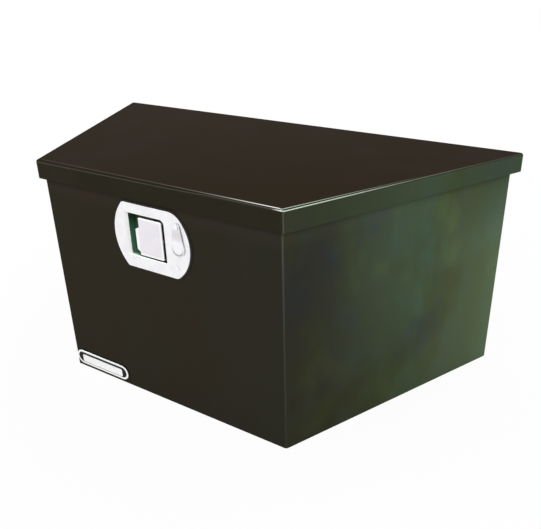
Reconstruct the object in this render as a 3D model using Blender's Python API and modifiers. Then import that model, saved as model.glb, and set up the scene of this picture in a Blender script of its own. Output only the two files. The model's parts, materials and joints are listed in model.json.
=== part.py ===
# Trailer tongue box: a trapezoid tub of folded sheet, a lid with an overhanging skirt on a rear piano
# hinge, two gas struts, and a stainless paddle latch with a slam bolt and a covered key lock.
# Metres, +Z up. The front, with the latch, faces -Y. The origin is under the middle of the box.

import math

import bmesh
import bpy
from mathutils import Matrix, Vector

# Whole box
HEIGHT = 0.415
LID_REAR_WIDTH = 0.920  # over the rounded corners
LID_DEPTH = 0.451
SIDE_ANGLE = math.radians(25.4)  # about the slant of one rail of a 50 degree trailer tongue
SHEET = 0.002
CLEARANCE = 0.0003  # air left between pieces that touch on the real box
MERGE = 0.000003  # vertices closer than this become one
OVERRUN = 0.003  # how far a cutter runs past what it cuts

# Lid
SKIRT_HEIGHT = 0.0325
LID_CORNER_RADIUS = 0.004
LID_EDGE_RADIUS = 0.0045
FRONT_OVERHANG = 0.0085
SIDE_OVERHANG = 0.010
STIFFENER_WIDTH = 0.070
STIFFENER_FLANGE = 0.012
STIFFENER_DEPTH = 0.009
STIFFENER_SHEET = 0.0015
STIFFENER_BEND = 0.001

# Tub
TUB_CORNER_RADIUS = 0.006
FRONT_RETURN = 0.006
REAR_RETURN = 0.012
SEAL_SPACE = 0.008  # from the rim flange up to the lid's underside
RIM_SHEET = 0.0015
RIM_FLANGE = 0.012
RIM_LEG = 0.018
RIM_INNER_RADIUS = 0.001
SEAL_INSET = 0.002
SEAL_WIDTH = 0.010
SEAL_FOOT = 0.003

# Piano hinge
KNUCKLE_RADIUS = 0.0037
KNUCKLE_PITCH = 0.0254
HINGE_MARGIN = 0.026  # the least distance from the hinge's end to the tub's corner
KNUCKLE_GAP = 0.0006
LEAF_SHEET = 0.0015
LEAF_WIDTH = 0.027
HINGE_PIN_RADIUS = 0.00195
HINGE_DROP = 0.0045  # from the skirt's lower edge down to the hinge axis
NOTCH_CLEARANCE = 0.0004

# Gas struts
STRUT_SIDE_MARGIN = 0.056  # from the side sheet to the strut's axis, level with the lid's ball
STRUT_REACH = 0.200  # both ball centres lie this far from the hinge axis
LID_BALL_ANGLE = math.radians(3.0)  # above the level line from the hinge forward
TUB_BALL_ANGLE = math.radians(-77.0)
LID_OPENING = math.radians(75.0)
TUBE_RADIUS = 0.009
TUBE_BORE_RADIUS = 0.0075
TUBE_FLOOR = 0.003
TUBE_CHAMFER = 0.001
GUIDE_LENGTH = 0.012
ROD_RADIUS = 0.004
ROD_BORE_RADIUS = 0.0043
PISTON_RADIUS = 0.0071
PISTON_LENGTH = 0.006
PISTON_MARGIN = 0.010  # left between the piston and the guide when the lid is open
SOCKET_REACH = 0.022
SOCKET_RADIUS = 0.008
SOCKET_WIDTH = 0.013
SOCKET_NECK_RADIUS = 0.0055
SOCKET_CAVITY_RADIUS = 0.00535
SOCKET_MOUTH_RADIUS = 0.0042
BALL_RADIUS = 0.005
BALL_NECK_RADIUS = 0.0028
STUD_COLLAR_RADIUS = 0.0065
STUD_COLLAR_LENGTH = 0.003
STUD_SHANK_RADIUS = 0.0035
STUD_HEAD_RADIUS = 0.0055
STUD_HEAD_LENGTH = 0.0025
STUD_HOLE_RADIUS = 0.0039
ARM_SHEET = 0.0025
ARM_SETBACK = 0.018  # from the arm's outer face to the ball's centre
ARM_END_RADIUS = 0.010
ARM_BASE_LENGTH = 0.040
ARM_BASE_WIDTH = 0.026
ARM_LAP = 0.001

# Latch plate. Each _X is a place from the middle of the front, each _UP a height above the latch's middle.
LATCH_DROP = 0.0663  # from the skirt's lower edge down to the latch's middle
LATCH_HEIGHT = 0.1125
LATCH_LEFT_X = -0.0598
LATCH_RIGHT_X = 0.0457
LATCH_LEFT_BULGE = 0.023
LATCH_RIGHT_BULGE = 0.029
LATCH_LEFT_CORNER = 0.003
LATCH_RIGHT_CORNER = 0.014
PLATE_SHEET = 0.0015
GASKET_SHEET = 0.0012
GASKET_LIP = 0.0008
CLAMP_SHEET = 0.002
CLAMP_INSET = 0.004
MOUTH_LEFT_X = -0.0578
MOUTH_RIGHT_X = 0.0252
MOUTH_LOW_UP = -0.03375
MOUTH_HIGH_UP = 0.03925
MOUTH_CORNER = 0.003
MOUTH_TOP_RIGHT_CORNER = 0.008
TRAY_DEPTH = 0.022
TRAY_SHEET = 0.0012
PANEL_HOLE_CLEARANCE = 0.001
STUD_SPOTS_UP = ((-0.0438, 0.04775), (0.0362, 0.04775), (-0.0438, -0.04525), (0.0282, -0.04525))
CLAMP_STUD_RADIUS = 0.002
CLAMP_STUD_LENGTH = 0.014
CLAMP_STUD_HOLE_RADIUS = 0.0024
NUT_RADIUS = 0.004
NUT_LENGTH = 0.0032

# Paddle
PADDLE_SHEET = 0.002
PADDLE_SINK = 0.0007  # how far its face lies behind the plate's face
PADDLE_RIGHT_X = 0.0177
PADDLE_TAB_X = -0.0368
PADDLE_SHOULDER_X = -0.0288
PADDLE_TOE_X = -0.0308
PADDLE_LOW_UP = -0.03125
PADDLE_HIGH_UP = 0.03425
PADDLE_TAB_HIGH_UP = 0.01325
PADDLE_TAB_LOW_UP = -0.02175
PADDLE_SLANT = 0.004
PADDLE_CORNER = 0.002
PADDLE_LIP_DEPTH = 0.007
PADDLE_LIP_INSET = 0.003
PIVOT_X = 0.0192
PIVOT_DEPTH = 0.0083  # from the plate's face back to the pivot pin
PIVOT_PIN_RADIUS = 0.002
PIVOT_HOLE_RADIUS = 0.0023
EAR_RADIUS = 0.0046
EAR_SHEET = 0.002
EAR_INSET = 0.0015
EAR_LENGTH = 0.019
CRANK_UP = 0.00175
CRANK_SHEET = 0.005
CRANK_NECK = 0.004
CRANK_TIP_RADIUS = 0.0025
CRANK_REACH = 0.021
CRANK_SLOT_CLEARANCE = 0.001
PADDLE_OPENING = math.radians(30.0)

# Slam bolt and its housing
BOLT_LEFT_X = -0.0058
BOLT_RIGHT_X = 0.0857
BOLT_HEIGHT = 0.0234
BOLT_THICKNESS = 0.008
BOLT_NOSE_LENGTH = 0.013
BOLT_NOSE_HEIGHT = 0.009
BOLT_SLOT_LEAD = 0.0004  # air between the crank's tip and the side of the slot that it pulls
BOLT_SLOT_SLACK = 0.0025
HOUSING_LEFT_X = -0.0398
HOUSING_RIGHT_X = 0.0682
HOUSING_SHEET = 0.0015
HOUSING_BEND = 0.0005
HOUSING_FOOT = 0.009
SPRING_RADIUS = 0.0036
SPRING_WIRE_RADIUS = 0.00055
SPRING_TURNS = 8

# Striker
STRIKER_GAP = 0.0005  # air between the bolt's nose and the striker
STRIKER_SHEET = 0.0025
STRIKER_SHANK = 0.019
STRIKER_SHANK_GAP = 0.001  # air between the shank and the plane of the bolt's back
STRIKER_LAP = 0.003  # how far its lip reaches in front of the bolt's back
STRIKER_LIP_HEIGHT = 0.012
STRIKER_FOOT_WIDTH = 0.024
STRIKER_FOOT_SHEET = 0.002
STRIKER_FOOT_LAP = 0.001
STRIKER_CORNER = 0.002

# Key lock
LOCK_X = 0.0522
LOCK_UP = -0.00175
LOCK_COLLAR_RADIUS = 0.0115
LOCK_COLLAR_LENGTH = 0.001
LOCK_BODY_RADIUS = 0.0095
LOCK_BODY_HOLE_RADIUS = 0.0101
LOCK_BODY_DEPTH = 0.0178  # from the plate's face back to the end of the lock's body
PLUG_RADIUS = 0.0065
PLUG_BORE_RADIUS = 0.0069
PLUG_STUB_RADIUS = 0.003
CAM_BORE_RADIUS = 0.0033
CAM_SHEET = 0.002
CAM_HUB_RADIUS = 0.0065
CAM_TIP_RADIUS = 0.004
CAM_REACH = 0.016
LOCK_NUT_RADIUS = 0.0058
LOCK_NUT_LENGTH = 0.003
KEY_SLOT_WIDTH = 0.0013
KEY_SLOT_HEIGHT = 0.0078
KEY_SLOT_DEPTH = 0.004
COVER_SHEET = 0.001
COVER_RADIUS = 0.013
COVER_EAR_RADIUS = 0.0065
COVER_PIVOT_UP = 0.03425
COVER_HOLE_RADIUS = 0.0024
RIVET_HEAD_RADIUS = 0.0045
RIVET_HEAD_LENGTH = 0.0012
RIVET_HEAD_EDGE = 0.0004
RIVET_SHANK_RADIUS = 0.002
RIVET_HOLE_RADIUS = 0.0023
RIVET_SHOULDER_RADIUS = 0.0035
LOWER_RIVET_X = 0.0462
LOWER_RIVET_UP = -0.03675

# Badge plate, bare
BADGE_SIDE_MARGIN = 0.0045  # from the tub's left front corner
BADGE_LIFT = 0.0075
BADGE_LENGTH = 0.134
BADGE_HEIGHT = 0.030
BADGE_THICKNESS = 0.0025
BADGE_RIM = 0.004
BADGE_CHANNEL = 0.0035
BADGE_CHANNEL_DEPTH = 0.001

# Facets
CORNER_STEPS = 4
BEND_STEPS = 3
ROUND_STEPS = 16
STUD_STEPS = 12
BALL_STEPS = 8
ARC_STEPS = 12
KNUCKLE_STEPS = 9
SPRING_POINTS_PER_TURN = 9

# Places worked out from the sizes above
ROUNDED_OFF = LID_CORNER_RADIUS * ((1 + math.sin(SIDE_ANGLE)) / math.cos(SIDE_ANGLE) - 1)
REAR_OVERHANG = SHEET + 2 * CLEARANCE + 2 * KNUCKLE_RADIUS
LID_UNDERSIDE = HEIGHT - SHEET
RIM_Z = LID_UNDERSIDE - SEAL_SPACE
SKIRT_Z = HEIGHT - SKIRT_HEIGHT
TUB_FRONT_Y = FRONT_OVERHANG - LID_DEPTH / 2
TUB_REAR_Y = LID_DEPTH / 2 - REAR_OVERHANG
HINGE_Y = TUB_REAR_Y + CLEARANCE + KNUCKLE_RADIUS
HINGE_Z = SKIRT_Z - HINGE_DROP
GASKET_BACK_Y = TUB_FRONT_Y - CLEARANCE
PLATE_BACK_Y = GASKET_BACK_Y - GASKET_SHEET - CLEARANCE
PLATE_FRONT_Y = PLATE_BACK_Y - PLATE_SHEET
TRAY_FLOOR_Y = PLATE_FRONT_Y + TRAY_DEPTH
TRAY_BACK_Y = TRAY_FLOOR_Y + TRAY_SHEET
PIVOT_Y = PLATE_FRONT_Y + PIVOT_DEPTH
LATCH_Z = SKIRT_Z - LATCH_DROP
MOUTH_LOW_Z = LATCH_Z + MOUTH_LOW_UP
MOUTH_HIGH_Z = LATCH_Z + MOUTH_HIGH_UP
PADDLE_LOW_Z = LATCH_Z + PADDLE_LOW_UP
PADDLE_HIGH_Z = LATCH_Z + PADDLE_HIGH_UP
PADDLE_TAB_HIGH_Z = LATCH_Z + PADDLE_TAB_HIGH_UP
PADDLE_TAB_LOW_Z = LATCH_Z + PADDLE_TAB_LOW_UP
CRANK_Z = LATCH_Z + CRANK_UP
LOCK_Z = LATCH_Z + LOCK_UP
COVER_PIVOT_Z = LATCH_Z + COVER_PIVOT_UP
LOWER_RIVET_Z = LATCH_Z + LOWER_RIVET_UP
STUD_SPOTS = [(x, LATCH_Z + up) for x, up in STUD_SPOTS_UP]
BOLT_Y = PIVOT_Y + CRANK_REACH
BOLT_FRONT_Y = BOLT_Y - BOLT_THICKNESS / 2
BOLT_BACK_Y = BOLT_Y + BOLT_THICKNESS / 2
BOLT_LOW_Z = CRANK_Z - BOLT_HEIGHT / 2
BOLT_HIGH_Z = CRANK_Z + BOLT_HEIGHT / 2
HOUSING_FOOT_Y = TRAY_BACK_Y + CLEARANCE
COLLAR_FRONT_Y = PLATE_FRONT_Y - CLEARANCE - LOCK_COLLAR_LENGTH
COVER_BACK_Y = COLLAR_FRONT_Y - CLEARANCE
COVER_FRONT_Y = COVER_BACK_Y - COVER_SHEET
LOCK_END_Y = PLATE_FRONT_Y + LOCK_BODY_DEPTH
CAM_FRONT_Y = LOCK_END_Y + CLEARANCE
LOCK_NUT_FRONT_Y = CAM_FRONT_Y + CAM_SHEET + CLEARANCE
HALF_FRONT = (
    LID_REAR_WIDTH / 2
    + ROUNDED_OFF
    - SIDE_OVERHANG / math.cos(SIDE_ANGLE)
    - (LID_DEPTH - FRONT_OVERHANG) * math.tan(SIDE_ANGLE)
)
HALF_REAR = HALF_FRONT + (TUB_REAR_Y - TUB_FRONT_Y) * math.tan(SIDE_ANGLE)
LID_BALL_Y = HINGE_Y - STRUT_REACH * math.cos(LID_BALL_ANGLE)
STRUT_X = HALF_FRONT + (LID_BALL_Y - TUB_FRONT_Y) * math.tan(SIDE_ANGLE) - STRUT_SIDE_MARGIN
KNUCKLE_COUNT = 1 + 2 * int((HALF_REAR - HINGE_MARGIN) / KNUCKLE_PITCH - 0.5)
BADGE_X = BADGE_SIDE_MARGIN + BADGE_LENGTH / 2 - HALF_FRONT
BADGE_Z = BADGE_LIFT + BADGE_HEIGHT / 2
STRIKER_X = BOLT_RIGHT_X + STRIKER_GAP
STRIKER_SHANK_Y = BOLT_BACK_Y + STRIKER_SHANK_GAP
STRIKER_BACK_Y = STRIKER_SHANK_Y + STRIKER_SHANK
STRIKER_LIP_Y = BOLT_BACK_Y - STRIKER_LAP

# Finishes: colour, roughness, metallic
PAINT = ((0.026, 0.024, 0.016), 0.38, 0.0)
STAINLESS = ((0.80, 0.79, 0.80), 0.28, 1.0)
ZINC = ((0.55, 0.56, 0.57), 0.40, 1.0)
STEEL = ((0.42, 0.42, 0.43), 0.35, 1.0)
RUBBER = ((0.012, 0.012, 0.012), 0.80, 0.0)
BLACK_STEEL = ((0.02, 0.02, 0.02), 0.45, 0.3)
BRASS = ((0.60, 0.45, 0.20), 0.35, 1.0)
POLYMER = ((0.03, 0.03, 0.03), 0.55, 0.0)

PLANES = {  # where an outline's two coordinates and its thickness point in the world
    "xy": Matrix(((1, 0, 0, 0), (0, 1, 0, 0), (0, 0, 1, 0), (0, 0, 0, 1))),
    "xz": Matrix(((1, 0, 0, 0), (0, 0, -1, 0), (0, 1, 0, 0), (0, 0, 0, 1))),
    "yz": Matrix(((0, 0, 1, 0), (1, 0, 0, 0), (0, 1, 0, 0), (0, 0, 0, 1))),
}
FORWARD = Vector((0, -1, 0))
THICKNESS_AXIS = {"xy": Vector((0, 0, 1)), "xz": Vector((0, 1, 0)), "yz": Vector((1, 0, 0))}


# Scene and objects


def clear_scene():
    for item in list(bpy.data.objects):
        bpy.data.objects.remove(item, do_unlink=True)


def collection(name):
    made = bpy.data.collections.new(name)
    bpy.context.scene.collection.children.link(made)
    return made


def place_mesh(name, mesh, group):
    item = bpy.data.objects.new(name, mesh)
    group.objects.link(item)
    return item


def finish(item, look):
    colour, roughness, metallic = look
    material = bpy.data.materials.new(item.name + "_finish")
    material.use_nodes = True
    shader = material.node_tree.nodes["Principled BSDF"]
    shader.inputs["Base Color"].default_value = (*colour, 1.0)
    shader.inputs["Roughness"].default_value = roughness
    shader.inputs["Metallic"].default_value = metallic
    item.data.materials.clear()
    item.data.materials.append(material)


def part(item, look, joint=None):
    # A finished piece: it gets its finish and, if it moves, hangs from the empty on its joint's axis.
    finish(item, look)
    if joint:
        item.parent = joint
        item.matrix_parent_inverse = Matrix.Translation(joint.location).inverted()
    return item


def joint_empty(name, place):
    empty = bpy.data.objects.new(name, None)
    empty.location = place
    empty.empty_display_size = SOCKET_REACH
    parts.objects.link(empty)
    return empty


def tool(item):
    # Marks a piece that only cuts or adds to another.
    item.hide_render = True
    item.display_type = "WIRE"
    return item


def combine(item, other, operation):
    change = item.modifiers.new(other.name, "BOOLEAN")
    change.operation = operation
    change.object = tool(other)
    change.solver = "EXACT"


def cut(item, *cutters):
    for cutter in cutters:
        combine(item, cutter, "DIFFERENCE")


def weld_on(item, *additions):
    for addition in additions:
        combine(item, addition, "UNION")


def smooth(mesh):
    mesh.shade_smooth()
    mesh.set_sharp_from_angle(angle=math.radians(35.0))


# Outlines


def unit(angle):
    return Vector((math.cos(angle), math.sin(angle)))


def vectors(points):
    return [Vector(point) for point in points]


def arc(centre, radius, start, turn, steps=ARC_STEPS):
    return [Vector(centre) + radius * unit(start + turn * k / steps) for k in range(steps + 1)]


def bend_at(before, corner, after):
    way_in = (corner - before).normalized()
    way_out = (after - corner).normalized()
    turn = math.atan2(way_in.cross(way_out), way_in.dot(way_out))
    inward = Vector((-way_in.y, way_in.x)) * math.copysign(1, turn)
    return way_in, turn, inward


def rounded(points, radii, steps=CORNER_STEPS):
    # A closed outline with each corner turned through an arc of its own radius.
    points = vectors(points)
    outline = []
    for index, corner in enumerate(points):
        radius = radii[index]
        if not radius:
            outline.append(corner)
            continue
        way_in, turn, inward = bend_at(points[index - 1], corner, points[(index + 1) % len(points)])
        centre = corner - way_in * radius * math.tan(abs(turn) / 2) + inward * radius
        outline += arc(centre, radius, math.atan2(-inward.y, -inward.x), turn, steps)
    return outline


def folded(path, thickness, bend):
    # The outline of a sheet folded along an open path, seen on edge. The sheet lies to the path's right.
    path = vectors(path)
    near, far = [], []
    for index, corner in enumerate(path):
        if index in (0, len(path) - 1):
            ahead = path[1] - path[0] if index == 0 else path[-1] - path[-2]
            right = Vector((ahead.y, -ahead.x)).normalized()
            near.append(corner)
            far.append(corner + right * thickness)
            continue
        way_in, turn, inward = bend_at(path[index - 1], corner, path[index + 1])
        near_radius = bend if turn > 0 else bend + thickness
        far_radius = bend + thickness if turn > 0 else bend
        centre = corner - way_in * near_radius * math.tan(abs(turn) / 2) + inward * near_radius
        start = math.atan2(-inward.y, -inward.x)
        near += arc(centre, near_radius, start, turn, BEND_STEPS)
        far += arc(centre, far_radius, start, turn, BEND_STEPS)
    return near + far[::-1]


def trapezoid(front_inset, side_inset, rear_inset):
    # The lid's outline drawn in, anticlockwise from its front left corner.
    front_y = front_inset - LID_DEPTH / 2
    rear_y = LID_DEPTH / 2 - rear_inset
    corners = []
    for side, y in ((-1, front_y), (1, front_y), (1, rear_y), (-1, rear_y)):
        half = LID_REAR_WIDTH / 2 + ROUNDED_OFF - (LID_DEPTH / 2 - y) * math.tan(SIDE_ANGLE)
        corners.append(Vector((side * (half - side_inset / math.cos(SIDE_ANGLE)), y)))
    return corners


def tub_corners(inset=0.0):
    return trapezoid(FRONT_OVERHANG + inset, SIDE_OVERHANG + inset, REAR_OVERHANG + inset)


def tub_ring(inset):
    radius = max(TUB_CORNER_RADIUS - inset, RIM_INNER_RADIUS)
    return rounded(tub_corners(inset), (radius,) * 4)


def barrel(outset):
    # The latch plate's outline: a flat top and bottom between two bulging ends.
    half = LATCH_HEIGHT / 2 + outset
    points = []
    for x, bulge, side in ((LATCH_RIGHT_X, LATCH_RIGHT_BULGE, 1), (LATCH_LEFT_X, LATCH_LEFT_BULGE, -1)):
        radius = (LATCH_HEIGHT**2 / 4 + bulge**2) / (2 * bulge)
        centre = (x + side * (bulge - radius), LATCH_Z)
        sweep = math.asin(half / (radius + outset))
        start = -sweep if side > 0 else math.pi - sweep
        points += arc(centre, radius + outset, start, 2 * sweep)
    corners = [LATCH_RIGHT_CORNER, LATCH_RIGHT_CORNER, LATCH_LEFT_CORNER, LATCH_LEFT_CORNER]
    ends = [0, ARC_STEPS, ARC_STEPS + 1, 2 * ARC_STEPS + 1]
    radii = [corners[ends.index(k)] if k in ends else 0.0 for k in range(len(points))]
    return rounded(points, radii)


def mouth(outset):
    points = (
        (MOUTH_LEFT_X - outset, MOUTH_LOW_Z - outset),
        (MOUTH_RIGHT_X + outset, MOUTH_LOW_Z - outset),
        (MOUTH_RIGHT_X + outset, MOUTH_HIGH_Z + outset),
        (MOUTH_LEFT_X - outset, MOUTH_HIGH_Z + outset),
    )
    small = MOUTH_CORNER + outset
    return rounded(points, (small, small, MOUTH_TOP_RIGHT_CORNER + outset, small))


def pill(inset):
    radius = BADGE_HEIGHT / 2 - inset
    straight = (BADGE_LENGTH - BADGE_HEIGHT) / 2
    right = arc((BADGE_X + straight, BADGE_Z), radius, -math.pi / 2, math.pi)
    left = arc((BADGE_X - straight, BADGE_Z), radius, math.pi / 2, math.pi)
    return right + left


def drop(centre, end, radius, end_radius):
    # A plate's outline round two circles, the second one further along the line.
    line = Vector(end) - Vector(centre)
    lean = math.acos((radius - end_radius) / line.length)
    heading = math.atan2(line.y, line.x)
    big = arc(centre, radius, heading + lean, 2 * (math.pi - lean))
    small = arc(end, end_radius, heading - lean, 2 * lean)
    return big + small


# Solids


def plate(name, outlines, plane, low, high, group=None):
    # Flat outlines, the later ones holes, given a thickness from low to high along the third axis.
    curve = bpy.data.curves.new(name, "CURVE")
    curve.dimensions = "2D"
    curve.fill_mode = "BOTH"
    curve.extrude = (high - low) / 2
    for outline in outlines:
        spline = curve.splines.new("POLY")
        spline.points.add(len(outline) - 1)
        for point, (across, up) in zip(spline.points, outline):
            point.co = (across, up, 0, 1)
        spline.use_cyclic_u = True
    matrix = Matrix.Translation(THICKNESS_AXIS[plane] * (low + high) / 2) @ PLANES[plane]
    return curve_to_mesh(name, curve, matrix, group)


def curve_to_mesh(name, curve, matrix, group=None):
    source = bpy.data.objects.new(name + "_curve", curve)
    bpy.context.scene.collection.objects.link(source)
    graph = bpy.context.evaluated_depsgraph_get()
    mesh = bpy.data.meshes.new_from_object(source.evaluated_get(graph))
    bpy.data.objects.remove(source, do_unlink=True)
    mesh.transform(matrix)
    body = bmesh.new()
    body.from_mesh(mesh)
    bmesh.ops.remove_doubles(body, verts=body.verts, dist=MERGE)
    bmesh.ops.recalc_face_normals(body, faces=body.faces)
    body.to_mesh(mesh)
    body.free()
    mesh.name = name
    smooth(mesh)
    return place_mesh(name, mesh, group or parts)


def loft(name, loops, ends):
    # Skin through loops of as many points each. "both" caps the ends, "ring" joins the last to the first.
    body = bmesh.new()
    rings = [[body.verts.new(point) for point in loop] for loop in loops]
    pairs = list(zip(rings, rings[1:]))
    if ends == "ring":
        pairs.append((rings[-1], rings[0]))
    for first, second in pairs:
        for k in range(len(first)):
            after = (k + 1) % len(first)
            body.faces.new((first[k], first[after], second[after], second[k]))
    if ends == "both":
        body.faces.new(rings[0][::-1])
        body.faces.new(rings[-1])
    mesh = bpy.data.meshes.new(name)
    body.to_mesh(mesh)
    body.free()
    smooth(mesh)
    return place_mesh(name, mesh, parts)


def level(outline, z):
    return [(point[0], point[1], z) for point in outline]


def upright(outline, y):
    return [(point[0], y, point[1]) for point in outline]


def pointing(place, way):
    # Turns the +Z axis along way and moves the origin to place.
    return Matrix.Translation(place) @ way.to_track_quat("Z", "Y").to_matrix().to_4x4()


def cylinder(name, radius, start, end, sides=ROUND_STEPS, group=None):
    way = Vector(end) - Vector(start)
    body = bmesh.new()
    bmesh.ops.create_cone(
        body, cap_ends=True, segments=sides, radius1=radius, radius2=radius, depth=way.length
    )
    bmesh.ops.translate(body, verts=body.verts, vec=(0, 0, way.length / 2))
    bmesh.ops.transform(body, verts=body.verts, matrix=pointing(start, way))
    mesh = bpy.data.meshes.new(name)
    body.to_mesh(mesh)
    body.free()
    smooth(mesh)
    return place_mesh(name, mesh, group or parts)


def box(name, low, high, group=None):
    body = bmesh.new()
    bmesh.ops.create_cube(body, size=1.0)
    size = Vector(high) - Vector(low)
    middle = (Vector(high) + Vector(low)) / 2
    bmesh.ops.scale(body, verts=body.verts, vec=size)
    bmesh.ops.translate(body, verts=body.verts, vec=middle)
    mesh = bpy.data.meshes.new(name)
    body.to_mesh(mesh)
    body.free()
    return place_mesh(name, mesh, group or parts)


def ball(name, radius, centre, group=None):
    body = bmesh.new()
    bmesh.ops.create_uvsphere(body, u_segments=STUD_STEPS, v_segments=BALL_STEPS, radius=radius)
    bmesh.ops.translate(body, verts=body.verts, vec=centre)
    mesh = bpy.data.meshes.new(name)
    body.to_mesh(mesh)
    body.free()
    return place_mesh(name, mesh, group or parts)


def turned(name, profile, place, way, sides=ROUND_STEPS):
    # A profile of (radius, height) points, run down its outer side, turned about the line along way.
    body = bmesh.new()
    points = [body.verts.new((radius, 0, height)) for radius, height in profile]
    for first, second in zip(points, points[1:]):
        body.edges.new((first, second))
    mesh = bpy.data.meshes.new(name)
    body.to_mesh(mesh)
    body.free()
    item = place_mesh(name, mesh, parts)
    item.matrix_world = pointing(place, way)
    screw = item.modifiers.new("turn", "SCREW")
    screw.axis = "Z"
    screw.angle = 2 * math.pi
    screw.steps = sides
    screw.render_steps = sides
    screw.use_merge_vertices = True
    screw.merge_threshold = MERGE
    screw.use_smooth_shade = True
    return item


# Tub


def towards(start, end, distance):
    return start + (end - start).normalized() * distance


def tub_walls():
    front_left, front_right, rear_right, rear_left = tub_corners()
    bend = TUB_CORNER_RADIUS - SHEET
    front_path = (
        towards(front_right, rear_right, FRONT_RETURN),
        front_right,
        front_left,
        towards(front_left, rear_left, FRONT_RETURN),
    )
    rear_path = (
        towards(rear_left, front_left, REAR_RETURN),
        rear_left,
        rear_right,
        towards(rear_right, front_right, REAR_RETURN),
    )
    left_path = (
        towards(front_left, rear_left, FRONT_RETURN + CLEARANCE),
        towards(rear_left, front_left, REAR_RETURN + CLEARANCE),
    )
    right_path = (
        towards(rear_right, front_right, REAR_RETURN + CLEARANCE),
        towards(front_right, rear_right, FRONT_RETURN + CLEARANCE),
    )
    walls = {"front_panel": front_path, "rear_panel": rear_path}
    walls.update({"left_side_panel": left_path, "right_side_panel": right_path})
    for name, path in walls.items():
        part(plate(name, [folded(path, SHEET, bend)], "xy", 0, RIM_Z), PAINT)
    cut(bpy.data.objects["front_panel"], *latch_openings("panel", TUB_FRONT_Y, TUB_FRONT_Y + SHEET))


def floor_pan():
    outline = tub_ring(SHEET + CLEARANCE)
    part(plate("floor_pan", [outline], "xy", 0, SHEET), PAINT)


def rim():
    outer = SHEET + CLEARANCE
    section = (
        (outer, RIM_Z - RIM_LEG),
        (outer, RIM_Z),
        (outer + RIM_FLANGE, RIM_Z),
        (outer + RIM_FLANGE, RIM_Z - RIM_SHEET),
        (outer + RIM_SHEET, RIM_Z - RIM_SHEET),
        (outer + RIM_SHEET, RIM_Z - RIM_LEG),
    )
    frame = loft("rim_frame", [level(tub_ring(inset), z) for inset, z in section], "ring")
    part(frame, PAINT)
    low = RIM_Z + CLEARANCE
    crown = LID_UNDERSIDE - CLEARANCE - low - SEAL_FOOT
    bulb = [(SEAL_INSET, low)]
    for k in range(BEND_STEPS * 2 + 1):
        angle = math.pi - math.pi * k / (BEND_STEPS * 2)
        across = SEAL_INSET + SEAL_WIDTH / 2 * (1 + math.cos(angle))
        bulb.append((across, low + SEAL_FOOT + crown * math.sin(angle)))
    bulb.append((SEAL_INSET + SEAL_WIDTH, low))
    part(loft("rim_seal", [level(tub_ring(inset), z) for inset, z in bulb], "ring"), RUBBER)


# Lid


def lid_shell(joint):
    # One skin: down the inner wall, round the skirt's lower edge and up the outer wall.
    outer, inner = [level(lid_ring(0.0), SKIRT_Z)], [level(lid_ring(SHEET), SKIRT_Z)]
    for k in range(CORNER_STEPS + 1):
        angle = math.pi / 2 * k / CORNER_STEPS
        for loops, radius in ((outer, LID_EDGE_RADIUS), (inner, LID_EDGE_RADIUS - SHEET)):
            inset = LID_EDGE_RADIUS - radius * math.cos(angle)
            z = HEIGHT - LID_EDGE_RADIUS + radius * math.sin(angle)
            loops.append(level(lid_ring(inset), z))
    part(loft("lid_shell", inner[::-1] + outer, "both"), PAINT, joint)


def lid_ring(inset):
    radius = max(LID_CORNER_RADIUS - inset, RIM_INNER_RADIUS)
    return rounded(trapezoid(inset, inset, inset), (radius,) * 4)


def lid_stiffener(joint):
    middle = lid_ball().y
    top = LID_UNDERSIDE - CLEARANCE
    low = top - STIFFENER_DEPTH
    half = STIFFENER_WIDTH / 2
    web = half - STIFFENER_FLANGE
    path = (
        (middle + half, top - STIFFENER_SHEET),
        (middle + web, top - STIFFENER_SHEET),
        (middle + web - STIFFENER_SHEET, low),
        (middle - web + STIFFENER_SHEET, low),
        (middle - web, top - STIFFENER_SHEET),
        (middle - half, top - STIFFENER_SHEET),
    )
    outline = folded(path, STIFFENER_SHEET, STIFFENER_BEND)
    hat = plate("lid_stiffener", [outline], "yz", -STRUT_X, STRUT_X)
    part(hat, PAINT, joint)


def striker(joint):
    low = BOLT_LOW_Z - CLEARANCE
    top = LID_UNDERSIDE - CLEARANCE
    outline = (
        (STRIKER_BACK_Y, low - STRIKER_LIP_HEIGHT),
        (STRIKER_BACK_Y, top - STRIKER_FOOT_LAP),
        (STRIKER_SHANK_Y, top - STRIKER_FOOT_LAP),
        (STRIKER_SHANK_Y, low),
        (STRIKER_LIP_Y, low),
        (STRIKER_LIP_Y, low - STRIKER_LIP_HEIGHT),
    )
    radii = (STRIKER_CORNER, 0, 0, STRIKER_CORNER, STRIKER_CORNER, STRIKER_CORNER)
    hook = plate(
        "striker_bracket", [rounded(outline, radii)], "yz", STRIKER_X, STRIKER_X + STRIKER_SHEET
    )
    foot = box(
        "striker_foot",
        (STRIKER_X + STRIKER_FOOT_LAP, STRIKER_SHANK_Y - STRIKER_CORNER, top - STRIKER_FOOT_SHEET),
        (STRIKER_X + STRIKER_FOOT_WIDTH, STRIKER_BACK_Y + STRIKER_CORNER, top),
        cutters,
    )
    weld_on(hook, foot)
    part(hook, ZINC, joint)


# Piano hinge


def hinge_section(flip):
    # One leaf seen on edge: a flat strip that rolls round the pin. flip turns it over for the lid's leaf.
    inner = KNUCKLE_RADIUS - LEAF_SHEET
    curl = math.radians(-295.0)
    points = [Vector((-KNUCKLE_RADIUS, -LEAF_WIDTH))]
    points += arc((0, 0), KNUCKLE_RADIUS, math.pi, curl, KNUCKLE_STEPS)
    points += arc((0, 0), inner, math.pi, curl, KNUCKLE_STEPS)[::-1]
    points.append(Vector((-inner, -LEAF_WIDTH)))
    turn = -1 if flip else 1
    return [Vector((HINGE_Y + turn * point.x, HINGE_Z + turn * point.y)) for point in points]


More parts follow.
